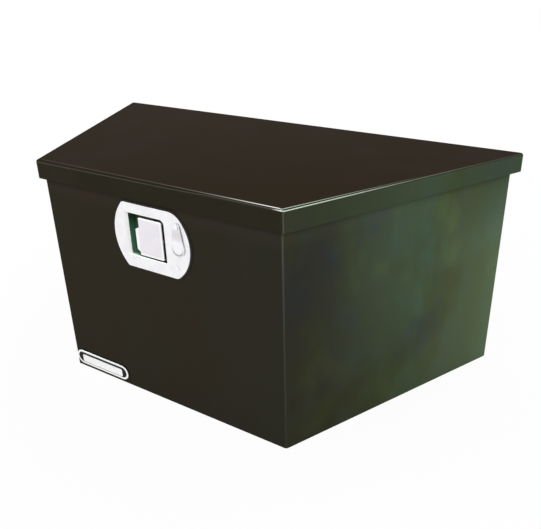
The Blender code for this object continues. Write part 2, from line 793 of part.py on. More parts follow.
def hinge_leaf(name, flip, joint=None):
    half = KNUCKLE_COUNT * KNUCKLE_PITCH / 2
    first = 0 if flip else 1
    ends = KNUCKLE_GAP / 2
    leaf = plate(name, [hinge_section(flip)], "yz", ends - half, half - ends)
    reach = KNUCKLE_RADIUS + OVERRUN
    keep = KNUCKLE_RADIUS + NOTCH_CLEARANCE
    low, high = (-reach, keep) if flip else (-keep, reach)
    for k in range(first, KNUCKLE_COUNT, 2):
        left = k * KNUCKLE_PITCH - half - ends
        right = left + KNUCKLE_PITCH + KNUCKLE_GAP
        if k == 0:
            left -= OVERRUN
        if k == KNUCKLE_COUNT - 1:
            right += OVERRUN
        notch = box(
            f"{name}_notch_{k}",
            (left, HINGE_Y - reach, HINGE_Z + low),
            (right, HINGE_Y + reach, HINGE_Z + high),
            cutters,
        )
        cut(leaf, notch)
    part(leaf, ZINC, joint)


def hinge_pin():
    half = KNUCKLE_COUNT * KNUCKLE_PITCH / 2
    ends = [(side * half, HINGE_Y, HINGE_Z) for side in (-1, 1)]
    part(cylinder("hinge_pin", HINGE_PIN_RADIUS, *ends), STEEL)


# Gas struts


def on_circle(angle):
    # A point at the struts' reach from the hinge axis, at an angle above the level line forward.
    return Vector((0, HINGE_Y - STRUT_REACH * math.cos(angle), HINGE_Z + STRUT_REACH * math.sin(angle)))


def lid_ball():
    return on_circle(LID_BALL_ANGLE)


def tub_ball():
    return on_circle(TUB_BALL_ANGLE)


def strut_length(opening):
    # Between the ball centres: the chord of the angle between them.
    spread = LID_BALL_ANGLE - TUB_BALL_ANGLE + opening
    return 2 * STRUT_REACH * math.sin(spread / 2)


def ball_socket(name, centre, other, side):
    # The end fitting: a cup over the ball, open towards the arm, with a neck that the strut screws into.
    half = Vector((SOCKET_WIDTH / 2, 0, 0))
    cup = cylinder(name, SOCKET_RADIUS, centre - half, centre + half)
    way = (other - centre).normalized()
    neck = cylinder(
        name + "_neck", SOCKET_NECK_RADIUS, centre + way * SOCKET_CAVITY_RADIUS,
        centre + way * SOCKET_REACH, group=cutters,
    )
    weld_on(cup, neck)
    cavity = ball(name + "_cavity", SOCKET_CAVITY_RADIUS, centre, cutters)
    outside = centre - Vector((side * (SOCKET_WIDTH / 2 + OVERRUN), 0, 0))
    throat = cylinder(name + "_mouth", SOCKET_MOUTH_RADIUS, centre, outside, group=cutters)
    cut(cup, cavity, throat)
    return cup


def ball_stud(name, centre, side, joint=None):
    # Turned from one bar: rivet head, shank through the arm, collar, neck and ball.
    collar_end = ARM_SETBACK - CLEARANCE - STUD_COLLAR_LENGTH
    shank_end = ARM_SETBACK - CLEARANCE
    head_start = ARM_SETBACK + ARM_SHEET + CLEARANCE
    head_end = head_start + STUD_HEAD_LENGTH
    profile = [(0, BALL_RADIUS)]
    lean = math.asin(BALL_NECK_RADIUS / BALL_RADIUS)
    for k in range(1, BALL_STEPS - 1):
        angle = (math.pi - lean) * k / (BALL_STEPS - 2)
        profile.append((BALL_RADIUS * math.sin(angle), BALL_RADIUS * math.cos(angle)))
    profile += [
        (BALL_NECK_RADIUS, -collar_end),
        (STUD_COLLAR_RADIUS, -collar_end),
        (STUD_COLLAR_RADIUS, -shank_end),
        (STUD_SHANK_RADIUS, -shank_end),
        (STUD_SHANK_RADIUS, -head_start),
        (STUD_HEAD_RADIUS, -head_start),
        (STUD_HEAD_RADIUS, -head_end),
        (0, -head_end),
    ]
    stud = turned(name, profile, centre, Vector((side, 0, 0)), STUD_STEPS)
    part(stud, STEEL, joint)


def strut_arm(name, centre, base, base_axis, side, joint=None):
    # An upright arm that carries a ball stud, welded to a flat base. base is the face that it stands on.
    outer = side * (STRUT_X - ARM_SETBACK)
    inner = outer - side * ARM_SHEET
    low, high = sorted((outer, inner))
    lap = base - ARM_LAP
    half = ARM_BASE_LENGTH / 2
    foot_half = half - ARM_LAP
    left, right = sorted((inner - side * ARM_BASE_WIDTH, outer - side * ARM_LAP))
    if base_axis == "y":
        foot = [Vector((lap, centre.z - foot_half)), Vector((lap, centre.z + foot_half))]
        tip = arc((centre.y, centre.z), ARM_END_RADIUS, math.pi / 2, math.pi)
        base_low = (left, base - ARM_SHEET, centre.z - half)
        base_high = (right, base, centre.z + half)
    else:
        foot = [Vector((centre.y + foot_half, lap)), Vector((centre.y - foot_half, lap))]
        tip = arc((centre.y, centre.z), ARM_END_RADIUS, math.pi, math.pi)
        base_low = (left, centre.y - half, base - ARM_SHEET)
        base_high = (right, centre.y + half, base)
    arm = plate(name, [foot + tip], "yz", low, high)
    weld_on(arm, box(name + "_base", base_low, base_high, cutters))
    hole_start = Vector((low - OVERRUN, centre.y, centre.z))
    hole_end = Vector((high + OVERRUN, centre.y, centre.z))
    cut(arm, cylinder(name + "_hole", STUD_HOLE_RADIUS, hole_start, hole_end, group=cutters))
    part(arm, ZINC, joint)


def strut(side, name, lid_joint):
    shift = Vector((side * STRUT_X, 0, 0))
    top = lid_ball() + shift
    foot = tub_ball() + shift
    tube_joint = joint_empty(f"{name}_tube_axis", top)
    rod_joint = joint_empty(f"{name}_rod_axis", foot)
    closed = strut_length(0.0)
    opened = strut_length(LID_OPENING)
    start = SOCKET_REACH + CLEARANCE
    tube_end = closed - SOCKET_REACH - CLEARANCE - SOCKET_NECK_RADIUS
    rod_end = opened - tube_end + GUIDE_LENGTH + PISTON_MARGIN
    tube_profile = (
        (0, start + TUBE_FLOOR),
        (TUBE_BORE_RADIUS, start + TUBE_FLOOR),
        (TUBE_BORE_RADIUS, tube_end - GUIDE_LENGTH),
        (ROD_BORE_RADIUS, tube_end - GUIDE_LENGTH),
        (ROD_BORE_RADIUS, tube_end),
        (TUBE_RADIUS - TUBE_CHAMFER, tube_end),
        (TUBE_RADIUS, tube_end - TUBE_CHAMFER),
        (TUBE_RADIUS, start + TUBE_CHAMFER),
        (TUBE_RADIUS - TUBE_CHAMFER, start),
        (0, start),
    )
    rod_profile = (
        (0, rod_end),
        (PISTON_RADIUS, rod_end),
        (PISTON_RADIUS, rod_end - PISTON_LENGTH),
        (ROD_RADIUS, rod_end - PISTON_LENGTH),
        (ROD_RADIUS, start),
        (0, start),
    )
    part(turned(f"{name}_tube", tube_profile, top, foot - top), BLACK_STEEL, tube_joint)
    part(turned(f"{name}_rod", rod_profile, foot, top - foot), STEEL, rod_joint)
    part(ball_socket(f"{name}_tube_socket", top, foot, side), POLYMER, tube_joint)
    part(ball_socket(f"{name}_rod_socket", foot, top, side), POLYMER, rod_joint)
    ball_stud(f"{name}_lid_stud", top, side, lid_joint)
    ball_stud(f"{name}_tub_stud", foot, side)
    lid_base = LID_UNDERSIDE - CLEARANCE - STIFFENER_DEPTH - CLEARANCE
    strut_arm(f"{name}_lid_arm", top, lid_base, "z", side, lid_joint)
    strut_arm(f"{name}_tub_arm", foot, TUB_REAR_Y - SHEET - CLEARANCE, "y", side)


# Latch


def latch_openings(name, front, back):
    # Cutters for all that passes through a layer behind the latch plate.
    low, high = front - OVERRUN, back + OVERRUN
    opening = plate(f"{name}_mouth", [mouth(TRAY_SHEET + PANEL_HOLE_CLEARANCE)], "xz", low, high, cutters)
    lock_ends = [(LOCK_X, y, LOCK_Z) for y in (low, high)]
    lock = cylinder(f"{name}_lock", LOCK_BODY_HOLE_RADIUS, *lock_ends, group=cutters)
    tools = [opening, lock]
    for number, (x, z) in enumerate(STUD_SPOTS, 1):
        spot = cylinder(
            f"{name}_stud_{number}", CLAMP_STUD_HOLE_RADIUS, (x, low, z), (x, high, z), ARC_STEPS, cutters
        )
        tools.append(spot)
    return tools


def latch_plate():
    face = plate("latch_plate", [barrel(0.0)], "xz", PLATE_FRONT_Y, PLATE_BACK_Y)
    inside = (PLATE_FRONT_Y + PLATE_BACK_Y) / 2
    tray = plate("tray_block", [mouth(TRAY_SHEET)], "xz", inside, TRAY_BACK_Y, cutters)
    weld_on(face, tray)
    for number, (x, z) in enumerate(STUD_SPOTS, 1):
        end = (x, PLATE_BACK_Y + CLAMP_STUD_LENGTH, z)
        stud = cylinder(f"clamp_stud_{number}", CLAMP_STUD_RADIUS, (x, inside, z), end, ARC_STEPS, cutters)
        weld_on(face, stud)
    hollow = plate("tray_hollow", [mouth(0.0)], "xz", PLATE_FRONT_Y - OVERRUN, TRAY_FLOOR_Y, cutters)
    pin_hole = cylinder(
        "pivot_pin_hole",
        PIVOT_HOLE_RADIUS,
        (PIVOT_X, PIVOT_Y, MOUTH_LOW_Z - TRAY_SHEET - OVERRUN),
        (PIVOT_X, PIVOT_Y, MOUTH_HIGH_Z + TRAY_SHEET + OVERRUN),
        group=cutters,
    )
    swing = (CRANK_REACH - (BOLT_Y - TRAY_BACK_Y)) * math.tan(PADDLE_OPENING)
    half_width = CRANK_NECK / 2 + CRANK_SLOT_CLEARANCE
    half_height = CRANK_SHEET / 2 + CRANK_SLOT_CLEARANCE
    slot = box(
        "crank_slot",
        (PIVOT_X - swing - half_width, TRAY_FLOOR_Y - OVERRUN, CRANK_Z - half_height),
        (PIVOT_X + half_width, TRAY_BACK_Y + OVERRUN, CRANK_Z + half_height),
        cutters,
    )
    front, back = PLATE_FRONT_Y - OVERRUN, PLATE_BACK_Y + OVERRUN
    lock_ends = [(LOCK_X, y, LOCK_Z) for y in (front, back)]
    lock = cylinder("plate_lock_hole", LOCK_BODY_HOLE_RADIUS, *lock_ends, group=cutters)
    cut(face, hollow, pin_hole, slot, lock)
    for name, x, z in (("cover", LOCK_X, COVER_PIVOT_Z), ("lower", LOWER_RIVET_X, LOWER_RIVET_Z)):
        hole = cylinder(f"{name}_rivet_hole", RIVET_HOLE_RADIUS, (x, front, z), (x, back, z), group=cutters)
        cut(face, hole)
    part(face, STAINLESS)


def latch_layers():
    gasket = plate("latch_gasket", [barrel(GASKET_LIP)], "xz", GASKET_BACK_Y - GASKET_SHEET, GASKET_BACK_Y)
    cut(gasket, *latch_openings("gasket", GASKET_BACK_Y - GASKET_SHEET, GASKET_BACK_Y))
    part(gasket, RUBBER)
    front = TUB_FRONT_Y + SHEET + CLEARANCE
    clamp = plate("latch_clamp", [barrel(-CLAMP_INSET)], "xz", front, front + CLAMP_SHEET)
    cut(clamp, *latch_openings("clamp", front, front + CLAMP_SHEET))
    part(clamp, ZINC)
    start = front + CLAMP_SHEET + CLEARANCE
    for number, (x, z) in enumerate(STUD_SPOTS, 1):
        nut = cylinder(f"latch_nut_{number}", NUT_RADIUS, (x, start, z), (x, start + NUT_LENGTH, z), 6)
        hole = cylinder(
            f"latch_nut_hole_{number}",
            CLAMP_STUD_HOLE_RADIUS,
            (x, start - OVERRUN, z),
            (x, start + NUT_LENGTH + OVERRUN, z),
            ARC_STEPS,
            cutters,
        )
        cut(nut, hole)
        part(nut, ZINC)


def crank_outline(base_y):
    # The paddle's crank seen from above: a hub round the pivot pin and a tail that ends in a round tip.
    pivot = Vector((PIVOT_X, PIVOT_Y))
    neck = CRANK_NECK / 2
    hub_side = math.acos(neck / EAR_RADIUS)
    tip_side = math.acos(neck / CRANK_TIP_RADIUS)
    tip = (PIVOT_X, BOLT_Y)
    right = arc(pivot, EAR_RADIUS, -math.pi / 4, hub_side + math.pi / 4, CORNER_STEPS)
    end = arc(tip, CRANK_TIP_RADIUS, -tip_side, math.pi + 2 * tip_side)
    left = arc(pivot, EAR_RADIUS, math.pi - hub_side, math.pi / 4, CORNER_STEPS)
    base = [Vector((PADDLE_RIGHT_X - EAR_LENGTH, base_y)), Vector((PADDLE_RIGHT_X - EAR_INSET, base_y))]
    return base + right + end + left


def ear_outline(base_y):
    pivot = (PIVOT_X, PIVOT_Y)
    base = [Vector((PADDLE_RIGHT_X - EAR_LENGTH, base_y)), Vector((PADDLE_RIGHT_X - EAR_INSET, base_y))]
    return base + arc(pivot, EAR_RADIUS, -math.pi / 4, math.pi * 3 / 4)


def paddle(joint):
    front = PLATE_FRONT_Y + PADDLE_SINK
    back = front + PADDLE_SHEET
    corners = (
        (PADDLE_TOE_X, PADDLE_LOW_Z),
        (PADDLE_RIGHT_X, PADDLE_LOW_Z),
        (PADDLE_RIGHT_X, PADDLE_HIGH_Z),
        (PADDLE_SHOULDER_X, PADDLE_HIGH_Z),
        (PADDLE_SHOULDER_X, PADDLE_TAB_HIGH_Z + PADDLE_SLANT),
        (PADDLE_TAB_X, PADDLE_TAB_HIGH_Z),
        (PADDLE_TAB_X, PADDLE_TAB_LOW_Z),
        (PADDLE_TOE_X, PADDLE_TAB_LOW_Z - PADDLE_SLANT),
    )
    face = plate("paddle_handle", [rounded(corners, (PADDLE_CORNER,) * len(corners))], "xz", front, back)
    inside = (front + back) / 2
    lip_x = PADDLE_TAB_X + CLEARANCE
    lip = box(
        "paddle_lip",
        (lip_x, inside, PADDLE_TAB_LOW_Z + PADDLE_LIP_INSET),
        (lip_x + PADDLE_SHEET, back + PADDLE_LIP_DEPTH, PADDLE_TAB_HIGH_Z - PADDLE_LIP_INSET),
        cutters,
    )
    weld_on(face, lip)
    for name, z in (("low", PADDLE_LOW_Z + EAR_INSET), ("high", PADDLE_HIGH_Z - EAR_INSET - EAR_SHEET)):
        weld_on(face, plate(f"{name}_ear", [ear_outline(inside)], "xy", z, z + EAR_SHEET, cutters))
    half = CRANK_SHEET / 2
    weld_on(face, plate("crank", [crank_outline(inside)], "xy", CRANK_Z - half, CRANK_Z + half, cutters))
    hole = cylinder(
        "paddle_pin_hole",
        PIVOT_HOLE_RADIUS,
        (PIVOT_X, PIVOT_Y, PADDLE_LOW_Z - OVERRUN),
        (PIVOT_X, PIVOT_Y, PADDLE_HIGH_Z + OVERRUN),
        group=cutters,
    )
    cut(face, hole)
    part(face, STAINLESS, joint)
    pin_low = (PIVOT_X, PIVOT_Y, MOUTH_LOW_Z - TRAY_SHEET)
    pin_high = (PIVOT_X, PIVOT_Y, MOUTH_HIGH_Z + TRAY_SHEET)
    part(cylinder("paddle_pivot_pin", PIVOT_PIN_RADIUS, pin_low, pin_high), STEEL)


def latch_bolt(joint):
    outline = (
        (BOLT_LEFT_X, BOLT_LOW_Z),
        (BOLT_RIGHT_X, BOLT_LOW_Z),
        (BOLT_RIGHT_X, BOLT_LOW_Z + BOLT_NOSE_HEIGHT),
        (BOLT_RIGHT_X - BOLT_NOSE_LENGTH, BOLT_HIGH_Z),
        (BOLT_LEFT_X, BOLT_HIGH_Z),
    )
    bolt = plate("latch_bolt", [vectors(outline)], "xz", BOLT_FRONT_Y, BOLT_BACK_Y)
    half = CRANK_SHEET / 2 + CRANK_SLOT_CLEARANCE
    slot = box(
        "bolt_slot",
        (PIVOT_X - CRANK_TIP_RADIUS - BOLT_SLOT_LEAD, BOLT_FRONT_Y - OVERRUN, CRANK_Z - half),
        (PIVOT_X + CRANK_TIP_RADIUS + BOLT_SLOT_SLACK, BOLT_BACK_Y + OVERRUN, CRANK_Z + half),
        cutters,
    )
    cut(bolt, slot)
    part(bolt, ZINC, joint)


def bolt_housing():
    front = HOUSING_FOOT_Y
    back = BOLT_BACK_Y + CLEARANCE
    low = BOLT_LOW_Z - CLEARANCE
    high = BOLT_HIGH_Z + CLEARANCE
    path = (
        (front, low - HOUSING_FOOT),
        (front, low),
        (back, low),
        (back, high),
        (front, high),
        (front, high + HOUSING_FOOT),
    )
    rail = plate(
        "bolt_housing", [folded(path, HOUSING_SHEET, HOUSING_BEND)], "yz", HOUSING_LEFT_X, HOUSING_RIGHT_X
    )
    lap = HOUSING_SHEET / 2
    stop = box(
        "spring_stop",
        (HOUSING_LEFT_X + CLEARANCE, front + HOUSING_SHEET, low - lap),
        (HOUSING_LEFT_X + CLEARANCE + HOUSING_SHEET, back + lap, high + lap),
        cutters,
    )
    weld_on(rail, stop)
    part(rail, ZINC)


def bolt_spring():
    start = HOUSING_LEFT_X + CLEARANCE + HOUSING_SHEET + CLEARANCE + SPRING_WIRE_RADIUS
    end = BOLT_LEFT_X - CLEARANCE - SPRING_WIRE_RADIUS
    pitch = (end - start) / SPRING_TURNS
    curve = bpy.data.curves.new("bolt_spring", "CURVE")
    curve.dimensions = "3D"
    curve.bevel_depth = SPRING_WIRE_RADIUS
    curve.bevel_resolution = 1
    curve.use_fill_caps = True
    spline = curve.splines.new("POLY")
    count = SPRING_TURNS * SPRING_POINTS_PER_TURN + 1
    spline.points.add(count - 1)
    for k, point in enumerate(spline.points):
        turns = k / SPRING_POINTS_PER_TURN
        across = unit(2 * math.pi * turns) * SPRING_RADIUS
        point.co = (start + pitch * turns, BOLT_Y + across.x, CRANK_Z + across.y, 1)
    print("bolt_spring least gap to itself:", round(pitch - 2 * SPRING_WIRE_RADIUS, 5))
    part(curve_to_mesh("bolt_spring", curve, Matrix()), STEEL)


# Key lock


def key_lock(joint):
    centre = (LOCK_X, 0, LOCK_Z)
    front, back = -COLLAR_FRONT_Y, -LOCK_END_Y
    seat = -(PLATE_FRONT_Y - CLEARANCE)
    profile = (
        (PLUG_BORE_RADIUS, back),
        (PLUG_BORE_RADIUS, front),
        (LOCK_COLLAR_RADIUS, front),
        (LOCK_COLLAR_RADIUS, seat),
        (LOCK_BODY_RADIUS, seat),
        (LOCK_BODY_RADIUS, back),
        (PLUG_BORE_RADIUS, back),
    )
    part(turned("lock_housing", profile, centre, FORWARD), STAINLESS)
    stub_end = -(LOCK_NUT_FRONT_Y + LOCK_NUT_LENGTH)
    plug_profile = (
        (0, front),
        (PLUG_RADIUS, front),
        (PLUG_RADIUS, back),
        (PLUG_STUB_RADIUS, back),
        (PLUG_STUB_RADIUS, stub_end),
        (0, stub_end),
    )
    plug = turned("lock_plug", plug_profile, centre, FORWARD)
    key_slot = box(
        "key_slot",
        (LOCK_X - KEY_SLOT_WIDTH / 2, COLLAR_FRONT_Y - OVERRUN, LOCK_Z - KEY_SLOT_HEIGHT / 2),
        (LOCK_X + KEY_SLOT_WIDTH / 2, COLLAR_FRONT_Y + KEY_SLOT_DEPTH, LOCK_Z + KEY_SLOT_HEIGHT / 2),
        cutters,
    )
    cut(plug, key_slot)
    part(plug, BRASS, joint)
    outline = drop((LOCK_X, LOCK_Z), (LOCK_X, LOCK_Z - CAM_REACH), CAM_HUB_RADIUS, CAM_TIP_RADIUS)
    bore = arc((LOCK_X, LOCK_Z), CAM_BORE_RADIUS, 0, 2 * math.pi)[:-1]
    part(plate("lock_cam", [outline, bore], "xz", CAM_FRONT_Y, CAM_FRONT_Y + CAM_SHEET), ZINC, joint)
    nut_back = LOCK_NUT_FRONT_Y + LOCK_NUT_LENGTH
    hexagon = arc((LOCK_X, LOCK_Z), LOCK_NUT_RADIUS, 0, 2 * math.pi, 6)[:-1]
    part(plate("lock_nut", [hexagon, bore], "xz", LOCK_NUT_FRONT_Y, nut_back), BRASS, joint)


def lock_cover(joint):
    pivot = (LOCK_X, COVER_PIVOT_Z)
    outline = drop((LOCK_X, LOCK_Z), pivot, COVER_RADIUS, COVER_EAR_RADIUS)
    hole = arc(pivot, COVER_HOLE_RADIUS, 0, 2 * math.pi)[:-1]
    part(plate("lock_cover", [outline, hole], "xz", COVER_FRONT_Y, COVER_BACK_Y), STAINLESS, joint)


def rivets():
    tail = -PLATE_BACK_Y
    seat = -(PLATE_FRONT_Y - CLEARANCE)
    shoulder = -COLLAR_FRONT_Y
    head = -(COVER_FRONT_Y - CLEARANCE)
    cover_profile = (
        (0, head + RIVET_HEAD_LENGTH),
        (RIVET_SHANK_RADIUS, head + RIVET_HEAD_LENGTH),
        (RIVET_HEAD_RADIUS, head + RIVET_HEAD_EDGE),
        (RIVET_HEAD_RADIUS, head),
        (RIVET_SHANK_RADIUS, head),
        (RIVET_SHANK_RADIUS, shoulder),
        (RIVET_SHOULDER_RADIUS, shoulder),
        (RIVET_SHOULDER_RADIUS, seat),
        (RIVET_SHANK_RADIUS, seat),
        (RIVET_SHANK_RADIUS, tail),
        (0, tail),
    )
    lower_profile = (
        (0, seat + RIVET_HEAD_LENGTH),
        (RIVET_SHANK_RADIUS, seat + RIVET_HEAD_LENGTH),
        (RIVET_HEAD_RADIUS, seat + RIVET_HEAD_EDGE),
        (RIVET_HEAD_RADIUS, seat),
        (RIVET_SHANK_RADIUS, seat),
        (RIVET_SHANK_RADIUS, tail),
        (0, tail),
    )
    part(turned("cover_rivet", cover_profile, (LOCK_X, 0, COVER_PIVOT_Z), FORWARD), STAINLESS)
    part(turned("lock_rivet", lower_profile, (LOWER_RIVET_X, 0, LOWER_RIVET_Z), FORWARD), STAINLESS)


def badge_plate():
    back = TUB_FRONT_Y - CLEARANCE
    front = back - BADGE_THICKNESS
    floor = front + BADGE_CHANNEL_DEPTH
    steps = (
        (0.0, back),
        (0.0, front),
        (BADGE_RIM, front),
        (BADGE_RIM, floor),
        (BADGE_RIM + BADGE_CHANNEL, floor),
        (BADGE_RIM + BADGE_CHANNEL, front),
    )
    part(loft("badge_plate", [upright(pill(inset), y) for inset, y in steps], "both"), STAINLESS)


clear_scene()
parts = collection("trailer_tongue_box")
cutters = collection("cutters")
lid_axis = joint_empty("lid_axis", (0, HINGE_Y, HINGE_Z))
paddle_axis = joint_empty("paddle_axis", (PIVOT_X, PIVOT_Y, CRANK_Z))
bolt_axis = joint_empty("bolt_axis", (PIVOT_X, BOLT_Y, CRANK_Z))
lock_axis = joint_empty("lock_axis", (LOCK_X, LOCK_END_Y, LOCK_Z))
cover_axis = joint_empty("cover_axis", (LOCK_X, COVER_BACK_Y, COVER_PIVOT_Z))

tub_walls()
floor_pan()
rim()
lid_shell(lid_axis)
lid_stiffener(lid_axis)
striker(lid_axis)
hinge_leaf("hinge_body_leaf", False)
hinge_leaf("hinge_lid_leaf", True, lid_axis)
hinge_pin()
strut(-1, "left_strut", lid_axis)
strut(1, "right_strut", lid_axis)
latch_plate()
latch_layers()
paddle(paddle_axis)
latch_bolt(bolt_axis)
bolt_housing()
bolt_spring()
key_lock(lock_axis)
lock_cover(cover_axis)
rivets()
badge_plate()
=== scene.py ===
import math

import bmesh
import bpy
from mathutils import Matrix, Vector
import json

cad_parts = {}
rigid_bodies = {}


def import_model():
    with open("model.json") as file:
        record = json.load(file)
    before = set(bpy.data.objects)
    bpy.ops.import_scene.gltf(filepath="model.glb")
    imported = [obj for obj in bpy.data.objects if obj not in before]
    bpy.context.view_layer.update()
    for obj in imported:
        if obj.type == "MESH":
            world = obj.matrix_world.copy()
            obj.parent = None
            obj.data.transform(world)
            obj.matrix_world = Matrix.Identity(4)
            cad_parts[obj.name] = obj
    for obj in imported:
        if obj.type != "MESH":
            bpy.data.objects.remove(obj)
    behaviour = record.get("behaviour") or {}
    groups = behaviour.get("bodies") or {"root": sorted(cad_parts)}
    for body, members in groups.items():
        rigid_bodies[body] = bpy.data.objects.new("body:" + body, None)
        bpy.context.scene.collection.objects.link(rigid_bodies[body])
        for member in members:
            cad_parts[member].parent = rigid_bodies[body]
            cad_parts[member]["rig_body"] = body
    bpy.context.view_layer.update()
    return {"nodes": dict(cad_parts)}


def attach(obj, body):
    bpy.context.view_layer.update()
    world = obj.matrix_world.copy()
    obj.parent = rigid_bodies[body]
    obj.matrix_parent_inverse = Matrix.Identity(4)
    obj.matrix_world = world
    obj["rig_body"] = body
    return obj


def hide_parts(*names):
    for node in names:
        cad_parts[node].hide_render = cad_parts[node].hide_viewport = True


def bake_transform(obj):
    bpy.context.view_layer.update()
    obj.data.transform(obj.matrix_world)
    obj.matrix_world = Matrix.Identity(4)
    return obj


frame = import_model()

nodes = frame["nodes"]
bodyOf = {name: nodes[name]["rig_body"] for name in nodes}

yAxis, zAxis = 1, 2
touch = 0.00002  # places closer than this are the same
overrun = 0.003  # how far a cutter runs past what it cuts
sameSpot = 0.000003  # closer points of a CAD mesh are doubles
sliver = 0.000002  # shorter edges are what bevels leave where they meet
flatAngle = math.radians(0.3)  # faces that turn less than this lie in one plane
level = 0.9  # a face whose normal has this share along an axis looks that way
evenGrain = (1, 1, 1)
uprightGrain = (1, 1, 12)
levelGrain = (12, 1, 1)


def alone(piece):
    bpy.ops.object.select_all(action="DESELECT")
    piece.select_set(True)
    bpy.context.view_layer.objects.active = piece


def settle(piece, name):
    # leaves the object at the origin, with its place in its mesh
    alone(piece)
    bpy.ops.object.transform_apply(location=True, rotation=True, scale=True)
    piece.name = name
    piece.data.name = name
    return piece


def block(name, low, high):
    low, high = Vector(low), Vector(high)
    bpy.ops.object.select_all(action="DESELECT")
    bpy.ops.mesh.primitive_cube_add(size=1, location=(low + high) / 2, scale=high - low)
    return settle(bpy.context.object, name)


def bar(name, radius, start, end, sides=48):
    start, end = Vector(start), Vector(end)
    turn = (end - start).to_track_quat("Z", "Y").to_euler()
    bpy.ops.object.select_all(action="DESELECT")
    bpy.ops.mesh.primitive_cylinder_add(
        vertices=sides, radius=radius, depth=(end - start).length, location=(start + end) / 2, rotation=turn
    )
    return settle(bpy.context.object, name)


def disc(name, radius, place, front, back, sides=48):
    # a bar that runs from front to back
    x, z = place
    return bar(name, radius, (x, front, z), (x, back, z), sides)


def choose(piece, kind, test):
    # picks the faces, edges or points that pass the test, in edit mode
    bpy.ops.mesh.select_mode(type=kind)
    bpy.ops.mesh.select_all(action="DESELECT")
    shape = bmesh.from_edit_mesh(piece.data)
    for item in {"VERT": shape.verts, "EDGE": shape.edges, "FACE": shape.faces}[kind]:
        if test(item):
            item.select_set(True)
    shape.select_flush_mode()
    bmesh.update_edit_mesh(piece.data)


def openMesh(piece, kind, test):
    alone(piece)
    bpy.ops.object.mode_set(mode="EDIT")
    choose(piece, kind, test)


def openWhole(piece):
    alone(piece)
    bpy.ops.object.mode_set(mode="EDIT")
    bpy.ops.mesh.select_all(action="SELECT")


def closeMesh():
    bpy.ops.object.mode_set(mode="OBJECT")


def middle(edge):
    return (edge.verts[0].co + edge.verts[1].co) / 2


def along(edge, axis, share=0.99):
    way = (edge.verts[1].co - edge.verts[0].co).normalized()
    return abs(way[axis]) > share


def atDepth(y):
    # a test for the edges that lie in the upright plane at y
    return lambda edge: all(abs(point.co.y - y) < touch for point in edge.verts)


def roundEdges(piece, test, width, segments=4):
    openMesh(piece, "EDGE", test)
    bpy.ops.mesh.bevel(
        offset=width, offset_type="OFFSET", segments=segments, affect="EDGES", clamp_overlap=False
    )
    closeMesh()


def modify(piece, kind, **settings):
    alone(piece)
    bpy.ops.object.modifier_add(type=kind)
    modifier = piece.modifiers[-1]
    for key, value in settings.items():
        setattr(modifier, key, value)
    bpy.ops.object.modifier_apply(modifier=modifier.name)


def soften(piece, width, angle):
    modify(
        piece,
        "BEVEL",
        width=width,
        segments=2,
        limit_method="ANGLE",
        angle_limit=math.radians(angle),
        use_clamp_overlap=True,
    )


def thicken(piece, sheet):
    modify(piece, "SOLIDIFY", thickness=sheet, offset=-1, use_even_offset=True, use_rim=True)


def combine(piece, operation, others):
    for other in others:
        modify(piece, "BOOLEAN", operation=operation, object=other, solver="EXACT")
        bpy.data.objects.remove(other, do_unlink=True)


def cut(piece, *cutters):
    combine(piece, "DIFFERENCE", cutters)


def hull(name, first, *others):
    # one solid drawn tight round all the pieces
    alone(first)
    for other in others:
        other.select_set(True)
    bpy.ops.object.join()
    openWhole(first)
    bpy.ops.mesh.convex_hull()
    bpy.ops.mesh.select_all(action="SELECT")
    bpy.ops.mesh.dissolve_limited(angle_limit=flatAngle)
    closeMesh()
    first.name = name
    first.data.name = name
    return first


def copyNode(node, name):
    # a copy of a CAD node with its doubles merged and its flat triangles taken out
    piece = nodes[node].copy()
    piece.data = piece.data.copy()
    bpy.context.scene.collection.objects.link(piece)
    piece.parent = None
    settle(piece, name)
    openWhole(piece)
    bpy.ops.mesh.remove_doubles(threshold=sameSpot)
    bpy.ops.mesh.dissolve_limited(angle_limit=flatAngle)
    closeMesh()
    return piece


def dressPiece(piece, node, material, *others, angle=35):
    alone(piece)
    bpy.ops.object.shade_smooth_by_angle(angle=math.radians(angle))
    modify(piece, "WEIGHTED_NORMAL", keep_sharp=True, weight=100)
    piece.data.materials.clear()
    piece.data.materials.append(material)
    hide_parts(node, *others)


def finishPiece(piece, node, material, *others, angle=35):
    dressPiece(piece, node, material, *others, angle=angle)
    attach(piece, bodyOf[node])


def newMaterial(name):
    material = bpy.data.materials.new(name)
    material.use_nodes = True
    tree = material.node_tree
    return material, tree, tree.nodes["Principled BSDF"]


def link(tree, source, target):
    tree.links.new(source, target)


def grey(value):
    return (*value, 1) if isinstance(value, tuple) else (value, value, value, 1)


def feed(tree, socket, value):
    # a number, a colour or another node's output
    if isinstance(value, (int, float)):
        socket.default_value = value
    elif isinstance(value, tuple):
        socket.default_value = grey(value)
    else:
        link(tree, value, socket)


def ramp(tree, factor, stops):
    node = tree.nodes.new("ShaderNodeValToRGB")
    elements = node.color_ramp.elements
    while len(elements) > 1:
        elements.remove(elements[-1])
    elements[0].position, elements[0].color = stops[0][0], grey(stops[0][1])
    for place, value in stops[1:]:
        elements.new(place).color = grey(value)
    link(tree, factor, node.inputs["Fac"])
    return node.outputs["Color"]


def calculate(tree, operation, *values):
    node = tree.nodes.new("ShaderNodeMath")
    node.operation = operation
    for socket, value in zip(node.inputs, values):
        feed(tree, socket, value)
    return node.outputs["Value"]


def times(tree, first, *others):
    for other in others:
        first = calculate(tree, "MULTIPLY", first, other)
    return first


def minus(tree, first, second):
    return calculate(tree, "SUBTRACT", first, second)


def scaled(tree, value, factor, shift):
    return calculate(tree, "MULTIPLY_ADD", value, factor, shift)


def absolute(tree, value):
    return calculate(tree, "ABSOLUTE", value)


